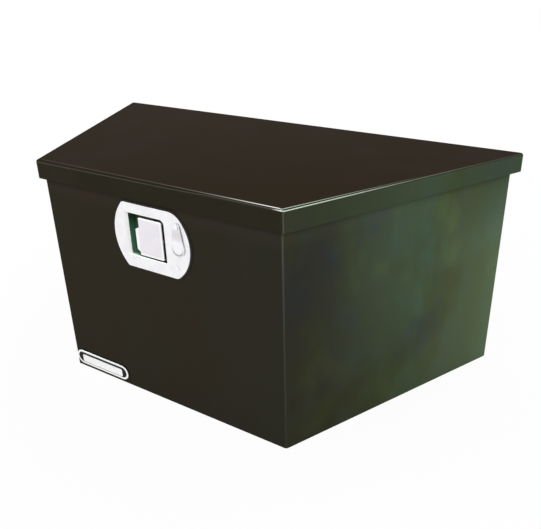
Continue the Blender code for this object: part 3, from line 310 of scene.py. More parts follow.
def clamp(tree, value):
    return calculate(tree, "MINIMUM", calculate(tree, "MAXIMUM", value, 0.0), 1.0)


def mixColour(tree, factor, first, second, blend="MIX"):
    node = tree.nodes.new("ShaderNodeMix")
    node.data_type = "RGBA"
    node.blend_type = blend
    # the node's sockets for colours and for numbers share their names, so both are told apart by place
    for number, value in ((0, factor), (6, first), (7, second)):
        feed(tree, node.inputs[number], value)
    return node.outputs[2]


def mixValue(tree, factor, first, second):
    node = tree.nodes.new("ShaderNodeMix")
    for number, value in ((0, factor), (2, first), (3, second)):
        feed(tree, node.inputs[number], value)
    return node.outputs[0]


def tinted(tree, share, colour, factor):
    return mixColour(tree, share, colour, mixColour(tree, 1.0, colour, factor, "MULTIPLY"))


def axes(tree, kind="Object"):
    coordinates = tree.nodes.new("ShaderNodeTexCoord")
    split = tree.nodes.new("ShaderNodeSeparateXYZ")
    link(tree, coordinates.outputs[kind], split.inputs[0])
    return split.outputs


def noiseGroup(name, result, scale, detail):
    # noise on the object's own coordinates, drawn out by its stretch
    group = bpy.data.node_groups.new(name, "ShaderNodeTree")
    inputs = (("Scale", "NodeSocketFloat", scale), ("Stretch", "NodeSocketVector", (1.0, 1.0, 1.0)))
    for title, kind, value in inputs:
        socket = group.interface.new_socket(title, in_out="INPUT", socket_type=kind)
        socket.default_value = value
    group.interface.new_socket(result, in_out="OUTPUT", socket_type="NodeSocketFloat")
    into, out = group.nodes.new("NodeGroupInput"), group.nodes.new("NodeGroupOutput")
    coordinates = group.nodes.new("ShaderNodeTexCoord")
    drawnOut = group.nodes.new("ShaderNodeVectorMath")
    drawnOut.operation = "MULTIPLY"
    noise = group.nodes.new("ShaderNodeTexNoise")
    noise.inputs["Detail"].default_value = detail
    noise.inputs["Roughness"].default_value = 0.5
    link(group, coordinates.outputs["Object"], drawnOut.inputs[0])
    link(group, into.outputs["Stretch"], drawnOut.inputs[1])
    link(group, drawnOut.outputs[0], noise.inputs["Vector"])
    link(group, into.outputs["Scale"], noise.inputs["Scale"])
    link(group, noise.outputs["Fac"], out.inputs[result])
    return group


# one makes soft uneven patches, the other a fine surface height for paint or drawn metal
softPatches = noiseGroup("softPatches", "Mask", 6.0, 3.0)
fineGrain = noiseGroup("fineGrain", "Height", 400.0, 2.0)


def useGroup(tree, group, scale, stretch):
    node = tree.nodes.new("ShaderNodeGroup")
    node.node_tree = group
    node.inputs["Scale"].default_value = scale
    node.inputs["Stretch"].default_value = stretch
    return node.outputs[0]


def patches(tree, scale, stretch=(1, 1, 1)):
    return useGroup(tree, softPatches, scale, stretch)


def grainBump(tree, shader, grain, stretch=evenGrain):
    height = useGroup(tree, fineGrain, grain["scale"], stretch)
    bump = tree.nodes.new("ShaderNodeBump")
    bump.inputs["Strength"].default_value = grain["strength"]
    bump.inputs["Distance"].default_value = grain["distance"]
    link(tree, height, bump.inputs["Height"])
    link(tree, bump.outputs["Normal"], shader.inputs["Normal"])
    return height


def uneven(tree, shader, height, roughness, grain):
    # the roughness follows the grain
    below, above = grain["gloss"]
    gloss = tree.nodes.new("ShaderNodeMapRange")
    gloss.inputs["To Min"].default_value = roughness + below
    gloss.inputs["To Max"].default_value = roughness + above
    link(tree, height, gloss.inputs["Value"])
    link(tree, gloss.outputs["Result"], shader.inputs["Roughness"])


# these factors bring the front's width and the box's depth to a ramp's 0 to 1, round a middle of 0.5
widthScale = 2.0
depthScale = 2.2

paintLook = {
    "top": (0.0205, 0.0130, 0.0058),
    "topPatch": (0.0225, 0.0135, 0.0078),
    "topPatches": (9.0, [(0.5, 0.0), (0.66, 1.0)]),
    "front": (0.0248, 0.0215, 0.0138),
    "frontPatch": (0.0258, 0.0205, 0.0130),
    "frontPatches": (8.0, [(0.46, 0.0), (0.66, 1.0)]),
    "frontCorner": (0.0240, 0.0232, 0.0158),
    "cornerScale": 4.0,
    "cornerShare": [(0.30, 0.0), (0.80, 0.8)],
    "skirt": (0.0205, 0.0188, 0.0105),
    "sides": [
        (0.06, (0.0310, 0.0320, 0.0165)),
        (0.20, (0.0365, 0.0410, 0.0240)),
        (0.36, (0.0470, 0.0620, 0.0350)),
        (0.55, (0.0575, 0.0860, 0.0450)),
        (0.72, (0.0780, 0.1070, 0.0630)),
        (0.86, (0.0900, 0.1240, 0.0630)),
        (0.97, (0.1060, 0.1560, 0.0900)),
    ],
    "skirtSides": [
        (0.06, (0.0350, 0.0400, 0.0215)),
        (0.50, (0.0510, 0.0750, 0.0420)),
        (0.97, (0.0500, 0.0720, 0.0410)),
    ],
    # each tint: factor on the side colour, scale, stretch, where it starts and is full
    "tints": (
        ((0.90, 0.86, 1.30), 7.0, (1.0, 1.0, 0.75), 0.52, 0.64),
        ((0.92, 0.84, 0.68), 9.0, (1.0, 1.0, 0.70), 0.54, 0.66),
        ((1.18, 1.22, 0.98), 11.0, (1.0, 1.0, 0.60), 0.54, 0.66),
        ((0.98, 1.08, 1.30), 13.0, (1.0, 1.0, 0.55), 0.56, 0.68),
    ),
    "tintsOnLid": 0.5,
    # each zone: factor on the colour, where it counts by height and by depth
    "underSkirtShade": {
        "factor": (0.64, 0.60, 0.52),
        "height": [(0.27, 0.0), (0.33, 0.6), (0.38, 1.0)],
        "depth": [(0.55, 0.0), (0.9, 1.0)],
    },
    "upperSideLight": {
        "factor": (1.13, 1.18, 1.28),
        "height": [(0.16, 0.0), (0.27, 1.0)],
        "depth": [(0.18, 0.0), (0.34, 1.0), (0.50, 1.0), (0.64, 0.0)],
    },
    "frontPaintedLift": {
        "factor": (1.36, 1.30, 1.40),
        "height": [(0.350, 0.0), (0.381, 1.0)],
        "depth": [(0.20, 1.0), (0.50, 0.0)],
    },
    # how one face's colour turns into the next one's on a rounded edge
    "turn": [(0.35, 0.0), (0.85, 1.0)],
    "notRear": [(0.50, 0.0), (0.70, 1.0)],
    "foldHighlight": {
        "facing": [(0.22, 0.0), (0.42, 1.0), (0.50, 1.0), (0.70, 0.0)],
        "heightScale": 2.4,
        "height": [(0.0, 0.25), (0.55, 0.55), (0.85, 1.0)],
        "share": 0.075,
        "tone": (0.62, 0.72, 0.62),
    },
    "rearRollShade": {
        "depthScale": 4.0,
        "depth": [(0.872, 0.0), (0.884, 1.0)],
        "facing": [(0.10, 0.0), (0.35, 1.0)],
        "tone": (0.003, 0.003, 0.002),
    },
    "roughness": 0.5,
    "coat": 0.05,
    "coatRoughness": 0.16,
    "grain": {"scale": 900.0, "strength": 0.12, "distance": 0.0002},
}


def zoneTint(tree, colour, height, back, zone):
    share = times(tree, ramp(tree, height, zone["height"]), ramp(tree, back, zone["depth"]))
    return tinted(tree, share, colour, zone["factor"])


def patchColour(tree, plain, patch, spread):
    scale, stops = spread
    return mixColour(tree, ramp(tree, patches(tree, scale), stops), plain, patch)


def paintMaterial(name, isLid):
    look = paintLook
    material, tree, shader = newMaterial(name)
    where, facing = axes(tree), axes(tree, "Normal")
    sideways = absolute(tree, facing["X"])
    # the slanting sides turn from near black at the front to a mossy green at the rear: partly the paint's
    # own green, partly a painted reflection that brightens the sides towards the rear
    back = scaled(tree, where["Y"], depthScale, 0.5)
    side = ramp(tree, back, look["skirtSides" if isLid else "sides"])
    for factor, scale, stretch, start, full in look["tints"]:
        stops = [(start, 0.0), (full, look["tintsOnLid"] if isLid else 1.0)]
        side = tinted(tree, ramp(tree, patches(tree, scale, stretch), stops), side, factor)
    top = patchColour(tree, look["top"], look["topPatch"], look["topPatches"])
    front = patchColour(tree, look["skirt" if isLid else "front"], look["frontPatch"], look["frontPatches"])
    if not isLid:
        # painted shade and light: a side is darker at the rear just under the lid, a painted shadow of the
        # lid, and its middle is lighter above than below, painted light
        for zone in ("underSkirtShade", "upperSideLight"):
            side = zoneTint(tree, side, where["Z"], back, look[zone])
        # the front turns a little greener towards its right edge
        right = ramp(tree, times(tree, where["X"], look["cornerScale"]), look["cornerShare"])
        front = mixColour(tree, right, front, look["frontCorner"])
    # painted shade: front, sides and top each get their own colour by the way they face, so the light on each
    # face is painted in
    colour = mixColour(tree, ramp(tree, sideways, look["turn"]), front, side)
    colour = mixColour(tree, ramp(tree, facing["Z"], look["turn"]), colour, top)
    if not isLid:
        # painted light: the paint just under the skirt at the front is made lighter, so that the skirt's
        # shadow there renders faint
        colour = zoneTint(tree, colour, where["Z"], back, look["frontPaintedLift"])
    # painted highlight: the upright folds at the front get a thin painted line of light
    notRear = ramp(tree, scaled(tree, facing["Y"], -1.0, 0.5), look["notRear"])
    foldHighlight = look["foldHighlight"]
    height = ramp(tree, times(tree, where["Z"], foldHighlight["heightScale"]), foldHighlight["height"])
    foldShare = times(tree, ramp(tree, sideways, foldHighlight["facing"]), height, notRear, foldHighlight["share"])
    colour = mixColour(tree, foldShare, colour, foldHighlight["tone"])
    if isLid:
        # painted shade: the lid's rolled rear edge is painted near black, a painted dark shade line along it
        rear = look["rearRollShade"]
        depth = ramp(tree, times(tree, where["Y"], rear["depthScale"]), rear["depth"])
        onRoll = times(tree, depth, ramp(tree, facing["Z"], rear["facing"]))
        colour = rollHighlightLines(tree, mixColour(tree, onRoll, colour, rear["tone"]), where, facing, notRear)
    link(tree, colour, shader.inputs["Base Color"])
    shader.inputs["Roughness"].default_value = look["roughness"]
    shader.inputs["Specular IOR Level"].default_value = 0.0
    shader.inputs["Coat Weight"].default_value = look["coat"]
    shader.inputs["Coat Roughness"].default_value = look["coatRoughness"]
    grainBump(tree, shader, look["grain"])
    return material


# painted highlights: the lid's rolled edge shines in two painted lines: one on the roll, one just inside it
# on the flat top
rollLook = {
    "level": [(0.93, 0.0), (0.97, 1.0)],
    "falloff": [(0.0, 1.0), (0.4, 0.9), (1.0, 0.0)],
    "frontTop": {
        "inset": 0.0074,
        "spread": 0.0019,
        "share": [(0.0, 0.04), (0.50, 0.06), (0.70, 0.12), (0.80, 0.34), (0.88, 0.75), (0.96, 1.0)],
    },
    "frontRoll": {
        "place": [(0.10, 0.24), (0.60, 0.55), (0.75, 0.84)],
        "spread": 0.17,
        "share": [(0.0, 0.06), (0.60, 0.045), (0.955, 0.05), (0.985, 0.9)],
    },
    "sideTop": {
        "place": [(0.0, 0.44), (0.35, 0.34)],
        "placeScale": 0.02,
        "spread": 0.0016,
        "share": [(0.0, 0.80), (0.20, 0.38), (0.38, 0.12), (0.55, 0.0)],
    },
    "sideRoll": {
        "place": 0.83,
        "spread": 0.15,
        "share": [(0.0, 0.95), (0.20, 0.72), (0.36, 0.34), (0.48, 0.11), (0.66, 0.05), (0.80, 0.0)],
    },
    "rightHalf": [(0.0, 0.0), (0.05, 1.0)],
    "cornerScale": 200.0,
    "nearFront": [(0.0, 0.0), (1.0, 1.0)],
    "onSideRoll": [(0.02, 0.0), (0.12, 1.0)],
    "whiteEnd": [(0.55, 0.0), (0.90, 1.0)],
    "shine": (0.66, 0.82, 0.66),
    "whiteShine": (0.95, 0.98, 0.94),
}


def lineAt(tree, distance, spread):
    # full on the line, nothing beyond its half width
    off = times(tree, absolute(tree, distance), 1 / spread)
    return ramp(tree, off, rollLook["falloff"])


def rollHighlightLines(tree, colour, where, facing, notRear):
    look = rollLook
    upward = facing["Z"]
    flat = ramp(tree, upward, look["level"])
    alongX = scaled(tree, where["X"], widthScale, 0.5)
    alongY = scaled(tree, where["Y"], depthScale, 0.5)
    # front: the line on the top whitens towards the right corner, the one on the roll stays faint
    line = look["frontTop"]
    fromFront = calculate(tree, "ADD", where["Y"], -lid["frontY"] - line["inset"])
    frontTop = times(tree, lineAt(tree, fromFront, line["spread"]), flat, ramp(tree, alongX, line["share"]))
    line = look["frontRoll"]
    offRoll = minus(tree, upward, ramp(tree, alongX, line["place"]))
    offFlat = minus(tree, 1.0, flat)
    frontRoll = times(tree, lineAt(tree, offRoll, line["spread"]), offFlat, ramp(tree, alongX, line["share"]))
    frontLine = calculate(tree, "ADD", frontTop, frontRoll)
    # right side: two lines that run together towards the rear and fade
    slant = math.tan(lid["slant"])
    half = scaled(tree, where["Y"], slant, lid["halfFront"] - slant * lid["frontY"])
    fromSide = times(tree, minus(tree, half, absolute(tree, where["X"])), math.cos(lid["slant"]))
    line = look["sideTop"]
    place = times(tree, ramp(tree, alongY, line["place"]), -line["placeScale"])
    fromSide = calculate(tree, "ADD", fromSide, place)
    sideTop = times(tree, lineAt(tree, fromSide, line["spread"]), flat, ramp(tree, alongY, line["share"]))
    line = look["sideRoll"]
    offRoll = minus(tree, upward, line["place"])
    sideRoll = times(tree, lineAt(tree, offRoll, line["spread"]), ramp(tree, alongY, line["share"]))
    rightHalf = ramp(tree, where["X"], look["rightHalf"])
    sideLine = times(tree, calculate(tree, "ADD", sideTop, sideRoll), rightHalf)
    # on the flat top the nearer edge decides, on the roll the way it faces
    nearFront = times(tree, minus(tree, fromSide, fromFront), look["cornerScale"])
    nearFront = ramp(tree, nearFront, look["nearFront"])
    sideways = ramp(tree, absolute(tree, facing["X"]), look["onSideRoll"])
    onSide = mixValue(tree, flat, sideways, minus(tree, 1.0, nearFront))
    seen = calculate(tree, "MAXIMUM", notRear, flat)
    share = times(tree, mixValue(tree, onSide, frontLine, sideLine), seen)
    frontTone = mixColour(tree, ramp(tree, alongX, look["whiteEnd"]), look["shine"], look["whiteShine"])
    tone = mixColour(tree, onSide, frontTone, look["shine"])
    return mixColour(tree, calculate(tree, "MINIMUM", share, 1.0), colour, tone)


spotShare = [(0.38, 0.0), (0.68, 1.0)]

metalLook = {
    "spots": (60.0, spotShare),
    "grain": {"scale": 700.0, "strength": 0.06, "distance": 0.0001, "gloss": (-0.05, 0.07)},
    "specular": 0.5,
    "tintedSpecular": 0.1,
}


def metalMaterial(name, colour, shade, roughness, grain=evenGrain, metallic=1.0, tint=None):
    # tint, where given, darkens what lies inside and says where the bare metal ends
    material, tree, shader = newMaterial(name)
    tone = patchColour(tree, colour, shade, metalLook["spots"])
    shader.inputs["Metallic"].default_value = metallic
    shader.inputs["Specular IOR Level"].default_value = metalLook["tintedSpecular" if tint else "specular"]
    if tint:
        tone, inside = tint(tree, tone)
        link(tree, scaled(tree, inside, -metallic, metallic), shader.inputs["Metallic"])
    link(tree, tone, shader.inputs["Base Color"])
    height = grainBump(tree, shader, metalLook["grain"], grain)
    uneven(tree, shader, height, roughness, metalLook["grain"])
    return material


plainGrain = {"scale": 1200.0, "strength": 0.15, "distance": 0.0001, "gloss": (-0.06, 0.06)}


def plainMaterial(name, colour, shade, roughness, scale=80.0, coat=0.0):
    # rubber, plastic and enamel
    material, tree, shader = newMaterial(name)
    link(tree, patchColour(tree, colour, shade, (scale, spotShare)), shader.inputs["Base Color"])
    uneven(tree, shader, grainBump(tree, shader, plainGrain), roughness, plainGrain)
    shader.inputs["Coat Weight"].default_value = coat
    return material


# painted light: a near white for the tray's lip and the paddle's rim, where they look lit
paintedLightWhite = (0.97, 0.98, 0.97)

trayLook = {
    "acrossScale": 10.0,
    "acrossShift": 0.838,
    "pocket": [(0.42, 1.0), (0.56, 0.0)],
    "pocketDepth": 0.0038,
    "slotDepth": 0.0006,
    "depthScale": 1200.0,
    "heightScale": 13.0,
    "shadeGreens": [
        (0.0, (0.09, 0.25, 0.14)),
        (0.45, (0.070, 0.20, 0.11)),
        (0.75, (0.035, 0.085, 0.040)),
        (1.0, (0.018, 0.038, 0.016)),
    ],
    "shadedBehind": [(0.60, 0.0), (0.75, 1.0)],
    "shadedBehindTone": (0.006, 0.014, 0.009),
    "lipDepth": 0.0003,
    "lipScale": 4000.0,
}


def trayLightAndShade(tree, tone):
    # painted light and shade: a white sloped lip at the finger pocket, painted light, then a painted green
    # shade by depth, darker towards the top, and near black behind the paddle
    look = trayLook
    where = axes(tree)
    depth = calculate(tree, "ADD", where["Y"], -latch["front"])
    across = scaled(tree, where["X"], look["acrossScale"], look["acrossShift"])
    pocket = ramp(tree, across, look["pocket"])
    start = scaled(tree, pocket, look["pocketDepth"], look["slotDepth"])
    inside = clamp(tree, times(tree, minus(tree, depth, start), look["depthScale"]))
    height = scaled(tree, where["Z"], look["heightScale"], -look["heightScale"] * latch["mouthLow"])
    shadedBehind = ramp(tree, across, look["shadedBehind"])
    green = mixColour(tree, shadedBehind, ramp(tree, height, look["shadeGreens"]), look["shadedBehindTone"])
    lip = clamp(tree, times(tree, minus(tree, depth, look["lipDepth"]), look["lipScale"]))
    lip = times(tree, lip, pocket)
    tone = mixColour(tree, lip, tone, paintedLightWhite)
    return mixColour(tree, inside, tone, green), calculate(tree, "MAXIMUM", inside, lip)


def darkFrom(tree, place, scale):
    # nothing in front of the place, full behind it
    return clamp(tree, scaled(tree, axes(tree)["Y"], scale, -scale * place))


paddleLook = {
    "rimScale": 100.0,
    "rim": [(0.15, 1.0), (0.50, 0.0)],
    "darkFrom": -0.2188,
    "darkScale": 500.0,
    "dark": (0.008, 0.012, 0.010),
}


def nearerEnd(tree, value, low, high):
    return calculate(tree, "MINIMUM", minus(tree, value, low), minus(tree, high, value))


def paddleHighlightAndShade(tree, tone):
    # painted highlight and shade: a bright painted rim round the face, painted dark shade behind it
    look, size = paddleLook, paddleSize
    where = axes(tree)
    across = nearerEnd(tree, where["X"], size["left"], size["right"])
    upright = nearerEnd(tree, where["Z"], size["low"], size["high"])
    nearest = calculate(tree, "MINIMUM", across, upright)
    rim = ramp(tree, times(tree, nearest, look["rimScale"]), look["rim"])
    inside = darkFrom(tree, look["darkFrom"], look["darkScale"])
    return mixColour(tree, inside, mixColour(tree, rim, tone, paintedLightWhite), look["dark"]), inside


coverLook = {
    "bowRadius": 0.0106,
    "bowScale": 500.0,
    "bow": [(0.3, 1.0), (1.1, 0.0)],
    "bowShare": 0.8,
    "bowShadeTone": (0.30, 0.32, 0.31),
    "footScale": -90.0,
    "footShift": 0.35,
    "patchScale": 25.0,
    "patch": [(0.26, 0.0), (0.50, 1.0), (0.68, 1.0), (0.92, 0.0)],
    "patchShare": 0.6,
    "patchShadeTone": (0.62, 0.58, 0.64),
}


def coverPaintedShade(tree, tone):
    # painted shade: a soft grey painted shadow bow round the foot of the cover and a lilac painted shade
    # patch above it
    look = coverLook
    where = axes(tree)
    aside = minus(tree, where["X"], lockPlace["x"])
    above = minus(tree, where["Z"], lockPlace["z"])
    square = calculate(tree, "ADD", times(tree, aside, aside), times(tree, above, above))
    offBow = absolute(tree, minus(tree, calculate(tree, "SQRT", square), look["bowRadius"]))
    foot = clamp(tree, scaled(tree, above, look["footScale"], look["footShift"]))
    bow = times(tree, ramp(tree, times(tree, offBow, look["bowScale"]), look["bow"]), foot)
    patch = ramp(tree, times(tree, above, look["patchScale"]), look["patch"])
    patch = times(tree, patch, look["patchShare"])
    tone = mixColour(tree, patch, tone, look["patchShadeTone"])
    return mixColour(tree, times(tree, bow, look["bowShare"]), tone, look["bowShadeTone"]), bow


badgeLook = {"darkScale": 5000.0, "dark": (0.001, 0.001, 0.001)}


def badgeTint(tree, tone):
    # the channel round the bar is black
    inside = darkFrom(tree, badge["front"] + badge["edge"], badgeLook["darkScale"])
    return mixColour(tree, inside, tone, badgeLook["dark"]), inside


def tapered(name, size):
    # a block drawn in towards the front, then rounded at its four upright corners
    low = (-size["halfRear"], size["frontY"], size["low"])
    piece = block(name, low, (size["halfRear"], size["rearY"], size["high"]))
    openMesh(piece, "VERT", lambda point: point.co.y < 0)
    share = size["halfFront"] / size["halfRear"]
    bpy.ops.transform.resize(value=(share, 1, 1), center_override=(0, 0, 0))
    closeMesh()
    half = math.tan((math.pi / 2 + size["slant"]) / 2)
    blunt = size["corner"] / half
    sharp = size["corner"] * half
    rear = size["rearY"] - touch
    roundEdges(piece, lambda edge: along(edge, zAxis) and middle(edge).y < 0, blunt, size["steps"])
    roundEdges(piece, lambda edge: along(edge, zAxis) and middle(edge).y > rear, sharp, size["steps"])
    return piece


tub = {
    "halfFront": 0.241143,
    "halfRear": 0.446509,
    "frontY": -0.2170,
    "rearY": 0.2155,
    "low": 0.0,
    "high": 0.405,
    "slant": math.radians(25.4),
    "corner": 0.006,
    "steps": 6,
    "sheet": 0.002,
    "edge": 0.0004,
}


def makeTub():
    skin = tapered("tubSkin", tub)
    openMesh(skin, "FACE", lambda face: abs(face.normal.z) > level)
    bpy.ops.mesh.delete(type="ONLY_FACE")
    closeMesh()
    thicken(skin, tub["sheet"])
    cut(skin, *latchHoles("tubHole", tub["frontY"] - overrun, tub["frontY"] + 2 * overrun))
    soften(skin, tub["edge"], angle=60)
    finishPiece(skin, "front_panel", tubPaint, "left_side_panel", "right_side_panel", "rear_panel")
    print("tub skin done")


lid = {
    "halfFront": 0.248176,
    "halfRear": 0.462327,
    "frontY": -0.2255,
    "rearY": 0.2255,
    "low": 0.3825,
    "high": 0.415,
    "slant": math.radians(25.4),
    "corner": 0.0065,
    "steps": 6,
    "roll": 0.0046,
    "rollSteps": 8,
    "sheet": 0.002,
}


def makeLid():
    skin = tapered("lidSkin", lid)
    openMesh(skin, "FACE", lambda face: face.normal.z < -level)
    bpy.ops.mesh.delete(type="ONLY_FACE")
    closeMesh()
    top = lid["high"] - touch

    def onTop(edge):
        return all(point.co.z > top for point in edge.verts)

    roundEdges(skin, onTop, lid["roll"], lid["rollSteps"])
    thicken(skin, lid["sheet"])
    finishPiece(skin, "lid_shell", lidPaint, angle=40)
    print("lid skin done")


lockPlace = {"x": 0.0522, "z": 0.31445, "pivotZ": 0.35045, "hole": 0.0101}
lockCentre = (lockPlace["x"], lockPlace["z"])
coverPivot = (lockPlace["x"], lockPlace["pivotZ"])
pivotPlace = {"x": 0.0192, "y": -0.2120, "hole": 0.0023}

latch = {
    "z": 0.3162,
    "height": 0.1125,
    "leftX": -0.0598,
    "rightX": 0.0457,
    "leftBulge": 0.023,
    "rightBulge": 0.029,
    "corners": {(1, 1): 0.026, (1, -1): 0.013, (-1, 1): 0.003, (-1, -1): 0.003},
    "front": -0.2203,
    "back": -0.2188,
    "mouthLeft": -0.0578,
    "mouthRight": 0.0252,
    "mouthLow": 0.28245,
    "mouthHigh": 0.35545,
    "mouthCorner": 0.003,
    "mouthBigCorner": 0.008,
    "trayFloor": -0.1983,
    "traySheet": 0.0012,
    "trayFillet": 0.0028,
    "trayOuterFillet": 0.0036,
    "studs": ((-0.0438, 0.36395), (0.0362, 0.36395), (-0.0438, 0.27095), (0.0282, 0.27095)),
    "studRadius": 0.002,
    "studEnd": -0.2048,
    "studEdge": 0.0005,
    "studHole": 0.0024,
    "panelGap": 0.0022,
    "panelCorner": 0.0045,
    "rivetHole": 0.0023,
    "lowerRivet": (0.0462, 0.27945),
    "slotLow": (0.0079, 0.31445),
    "slotHigh": (0.0222, 0.32145),
    "slotEnd": -0.194,
    "edge": 0.0005,
    "lip": 0.0010,
    "pocketLip": 0.0043,
    "flareWidth": 0.012,
    "flareMargin": 0.0005,
}


def latchHoles(name, front, back):
    gap = latch["panelGap"]
    low = (latch["mouthLeft"] - gap, front, latch["mouthLow"] - gap)
    opening = block(name, low, (latch["mouthRight"] + gap, back, latch["mouthHigh"] + gap))
    roundEdges(opening, lambda edge: along(edge, yAxis), latch["panelCorner"])
    lock = disc(name + "Lock", lockPlace["hole"], lockCentre, front, back, sides=40)
    studs = [
        disc(f"{name}Stud{number}", latch["studHole"], place, front, back, sides=20)
        for number, place in enumerate(latch["studs"])
    ]
    return [opening, lock, *studs]


def barrelSheet(name, front, back, inset=0.0):
    # flat top and bottom between two bulging ends, drawn tight round four corner discs and two arcs
    half = latch["height"] / 2 - inset
    parts = []
    for side, edgeX, bulge in (
        (1, latch["rightX"], latch["rightBulge"]),
        (-1, latch["leftX"], latch["leftBulge"]),
    ):
        whole = (latch["height"] ** 2 / 4 + bulge**2) / (2 * bulge)
        centreX = edgeX + side * (bulge - whole)
        big = whole - inset
        reach = {}
        for up in (-1, 1):
            small = latch["corners"][side, up] - inset
            rise = half - small
            run = math.sqrt((big - small) ** 2 - rise**2)
            place = (centreX + side * run, latch["z"] + up * rise)
            parts.append(disc(f"{name}Corner{side}{up}", small, place, front, back, sides=96))
            reach[up] = math.atan2(rise, run)
        arc = disc(f"{name}Arc{side}", big, (centreX, latch["z"]), front, back, sides=240)

        def outside(point, centreX=centreX, side=side, reach=reach):
            angle = math.atan2(point.co.z - latch["z"], side * (point.co.x - centreX))
            return not -reach[-1] <= angle <= reach[1]

        openMesh(arc, "VERT", outside)
        bpy.ops.mesh.delete(type="VERT")
        closeMesh()
        parts.append(arc)
    return hull(name, *parts)


def mouthBlock(name, front, back, outset, fillet, lead=0.0):
    piece = block(
        name,
        (latch["mouthLeft"] - outset + lead, front, latch["mouthLow"] - outset),
        (latch["mouthRight"] + outset, back, latch["mouthHigh"] + outset),
    )

    def isBig(edge):
        spot = middle(edge)
        return spot.x > 0 and spot.z > latch["z"]

    def isSmall(edge):
        # the big corner's new edges meet at less than a radian
        return not isBig(edge) and len(edge.link_faces) == 2 and edge.calc_face_angle() > 1

    bigCorner, corner = latch["mouthBigCorner"] + outset, latch["mouthCorner"] + outset
    roundEdges(piece, lambda edge: along(edge, yAxis) and isBig(edge), bigCorner, segments=8)
    roundEdges(piece, lambda edge: along(edge, yAxis) and isSmall(edge), corner, segments=5)
    roundEdges(piece, atDepth(back), fillet, segments=5)
    return piece


def makeLatchPlate():
    front, back = latch["front"], latch["back"]
    inPlate = (front + back) / 2
    sheet = barrelSheet("latchPlate", front, back)
    roundEdges(sheet, atDepth(front), latch["edge"], segments=3)
    wall = latch["traySheet"]
    tray = mouthBlock("trayWall", inPlate, latch["trayFloor"] + wall, wall, latch["trayOuterFillet"])
    studs = []
    for number, place in enumerate(latch["studs"]):
        stud = disc(f"clampStud{number}", latch["studRadius"], place, inPlate, latch["studEnd"], sides=24)
        roundEdges(stud, atDepth(latch["studEnd"]), latch["studEdge"], segments=2)
        studs.append(stud)
    combine(sheet, "UNION", [tray, *studs])
    slope, margin = latch["pocketLip"], latch["flareMargin"]
    start, floor = front - overrun, latch["trayFloor"]
    hollow = mouthBlock("trayHollow", start, floor, 0.0, latch["trayFillet"], lead=slope)
    # the pocket's left wall leans in behind the plate, as a sloped lip that the tray's shading paints bright
    # as painted light
    flare = block(
        "pocketFlare",
        (latch["mouthLeft"] - margin, front - margin, latch["mouthLow"] + margin),
        (latch["mouthLeft"] + latch["flareWidth"], front + slope, latch["mouthHigh"] - margin),
    )
    openMesh(flare, "VERT", lambda point: point.co.x < latch["mouthLeft"] and point.co.y > front)
    bpy.ops.transform.translate(value=(slope + margin, 0, 0))
    closeMesh()
    x, y = pivotPlace["x"], pivotPlace["y"]
    low, high = latch["mouthLow"] - overrun, latch["mouthHigh"] + overrun
    pinHole = bar("pinHole", pivotPlace["hole"], (x, y, low), (x, y, high), sides=32)
    (left, foot), (right, head) = latch["slotLow"], latch["slotHigh"]
    slot = block("crankSlot", (left, floor - overrun, foot), (right, latch["slotEnd"], head))
    drills = [
        disc(name, radius, place, front - overrun, back + overrun, sides=40)
        for name, radius, place in (
            ("lockHole", lockPlace["hole"], lockCentre),
            ("coverHole", latch["rivetHole"], coverPivot),
            ("lowerHole", latch["rivetHole"], latch["lowerRivet"]),
        )
    ]
    cut(sheet, hollow, flare, pinHole, slot, *drills)

    def mouthEdge(edge):
        spot = middle(edge)
        across = latch["mouthLeft"] - margin < spot.x < latch["mouthRight"] + margin
        upright = latch["mouthLow"] - margin < spot.z < latch["mouthHigh"] + margin
        return across and upright and atDepth(front)(edge)

    roundEdges(sheet, mouthEdge, latch["lip"])
    finishPiece(sheet, "latch_plate", plateSteel)
    print("latch plate done")


gasket = {"gap": 0.0003, "thickness": 0.0012, "lip": 0.0026, "edge": 0.0004}


def makeGasket():
    back = tub["frontY"] - gasket["gap"]
    front = back - gasket["thickness"]
    seal = barrelSheet("latchSeal", front, back, -gasket["lip"])
    roundEdges(seal, atDepth(front), gasket["edge"], segments=2)
    cut(seal, *latchHoles("sealHole", front - overrun, back + overrun))
    finishPiece(seal, "latch_gasket", sealRubber)


paddleSize = {
    "front": -0.2196,
    "behind": -0.2172,
    "left": -0.0338,
    "right": 0.0192,
    "low": 0.28495,
    "high": 0.35045,
    "rightEnd": 0.0152,
    "reach": 0.0015,
    "edge": 0.0006,
}


def makePaddle():
    # the CAD's crank, ears and lip are kept, the face gets its rounded rim
    size = paddleSize
    piece = copyNode("paddle_handle", "paddleFace")
    # the face reaches a little nearer to the mouth's right edge
    openMesh(
        piece, "VERT", lambda point: point.co.x > size["rightEnd"] and point.co.y < size["behind"]
    )
    bpy.ops.transform.translate(value=(size["reach"], 0, 0))
    closeMesh()
    roundEdges(piece, atDepth(size["front"]), size["edge"])
    finishPiece(piece, "paddle_handle", paddleSteel)
    print("paddle done")


cover = {
    "front": -0.2226,
    "back": -0.2219,
    "radius": 0.013,
    "ear": 0.0065,
    "hole": 0.0024,
    "edge": 0.0005,
    "wideFace": 0.0002,
    "domeMargin": 0.0018,
    "domeSlope": 0.0008,
    "domeRise": -0.0003,
}


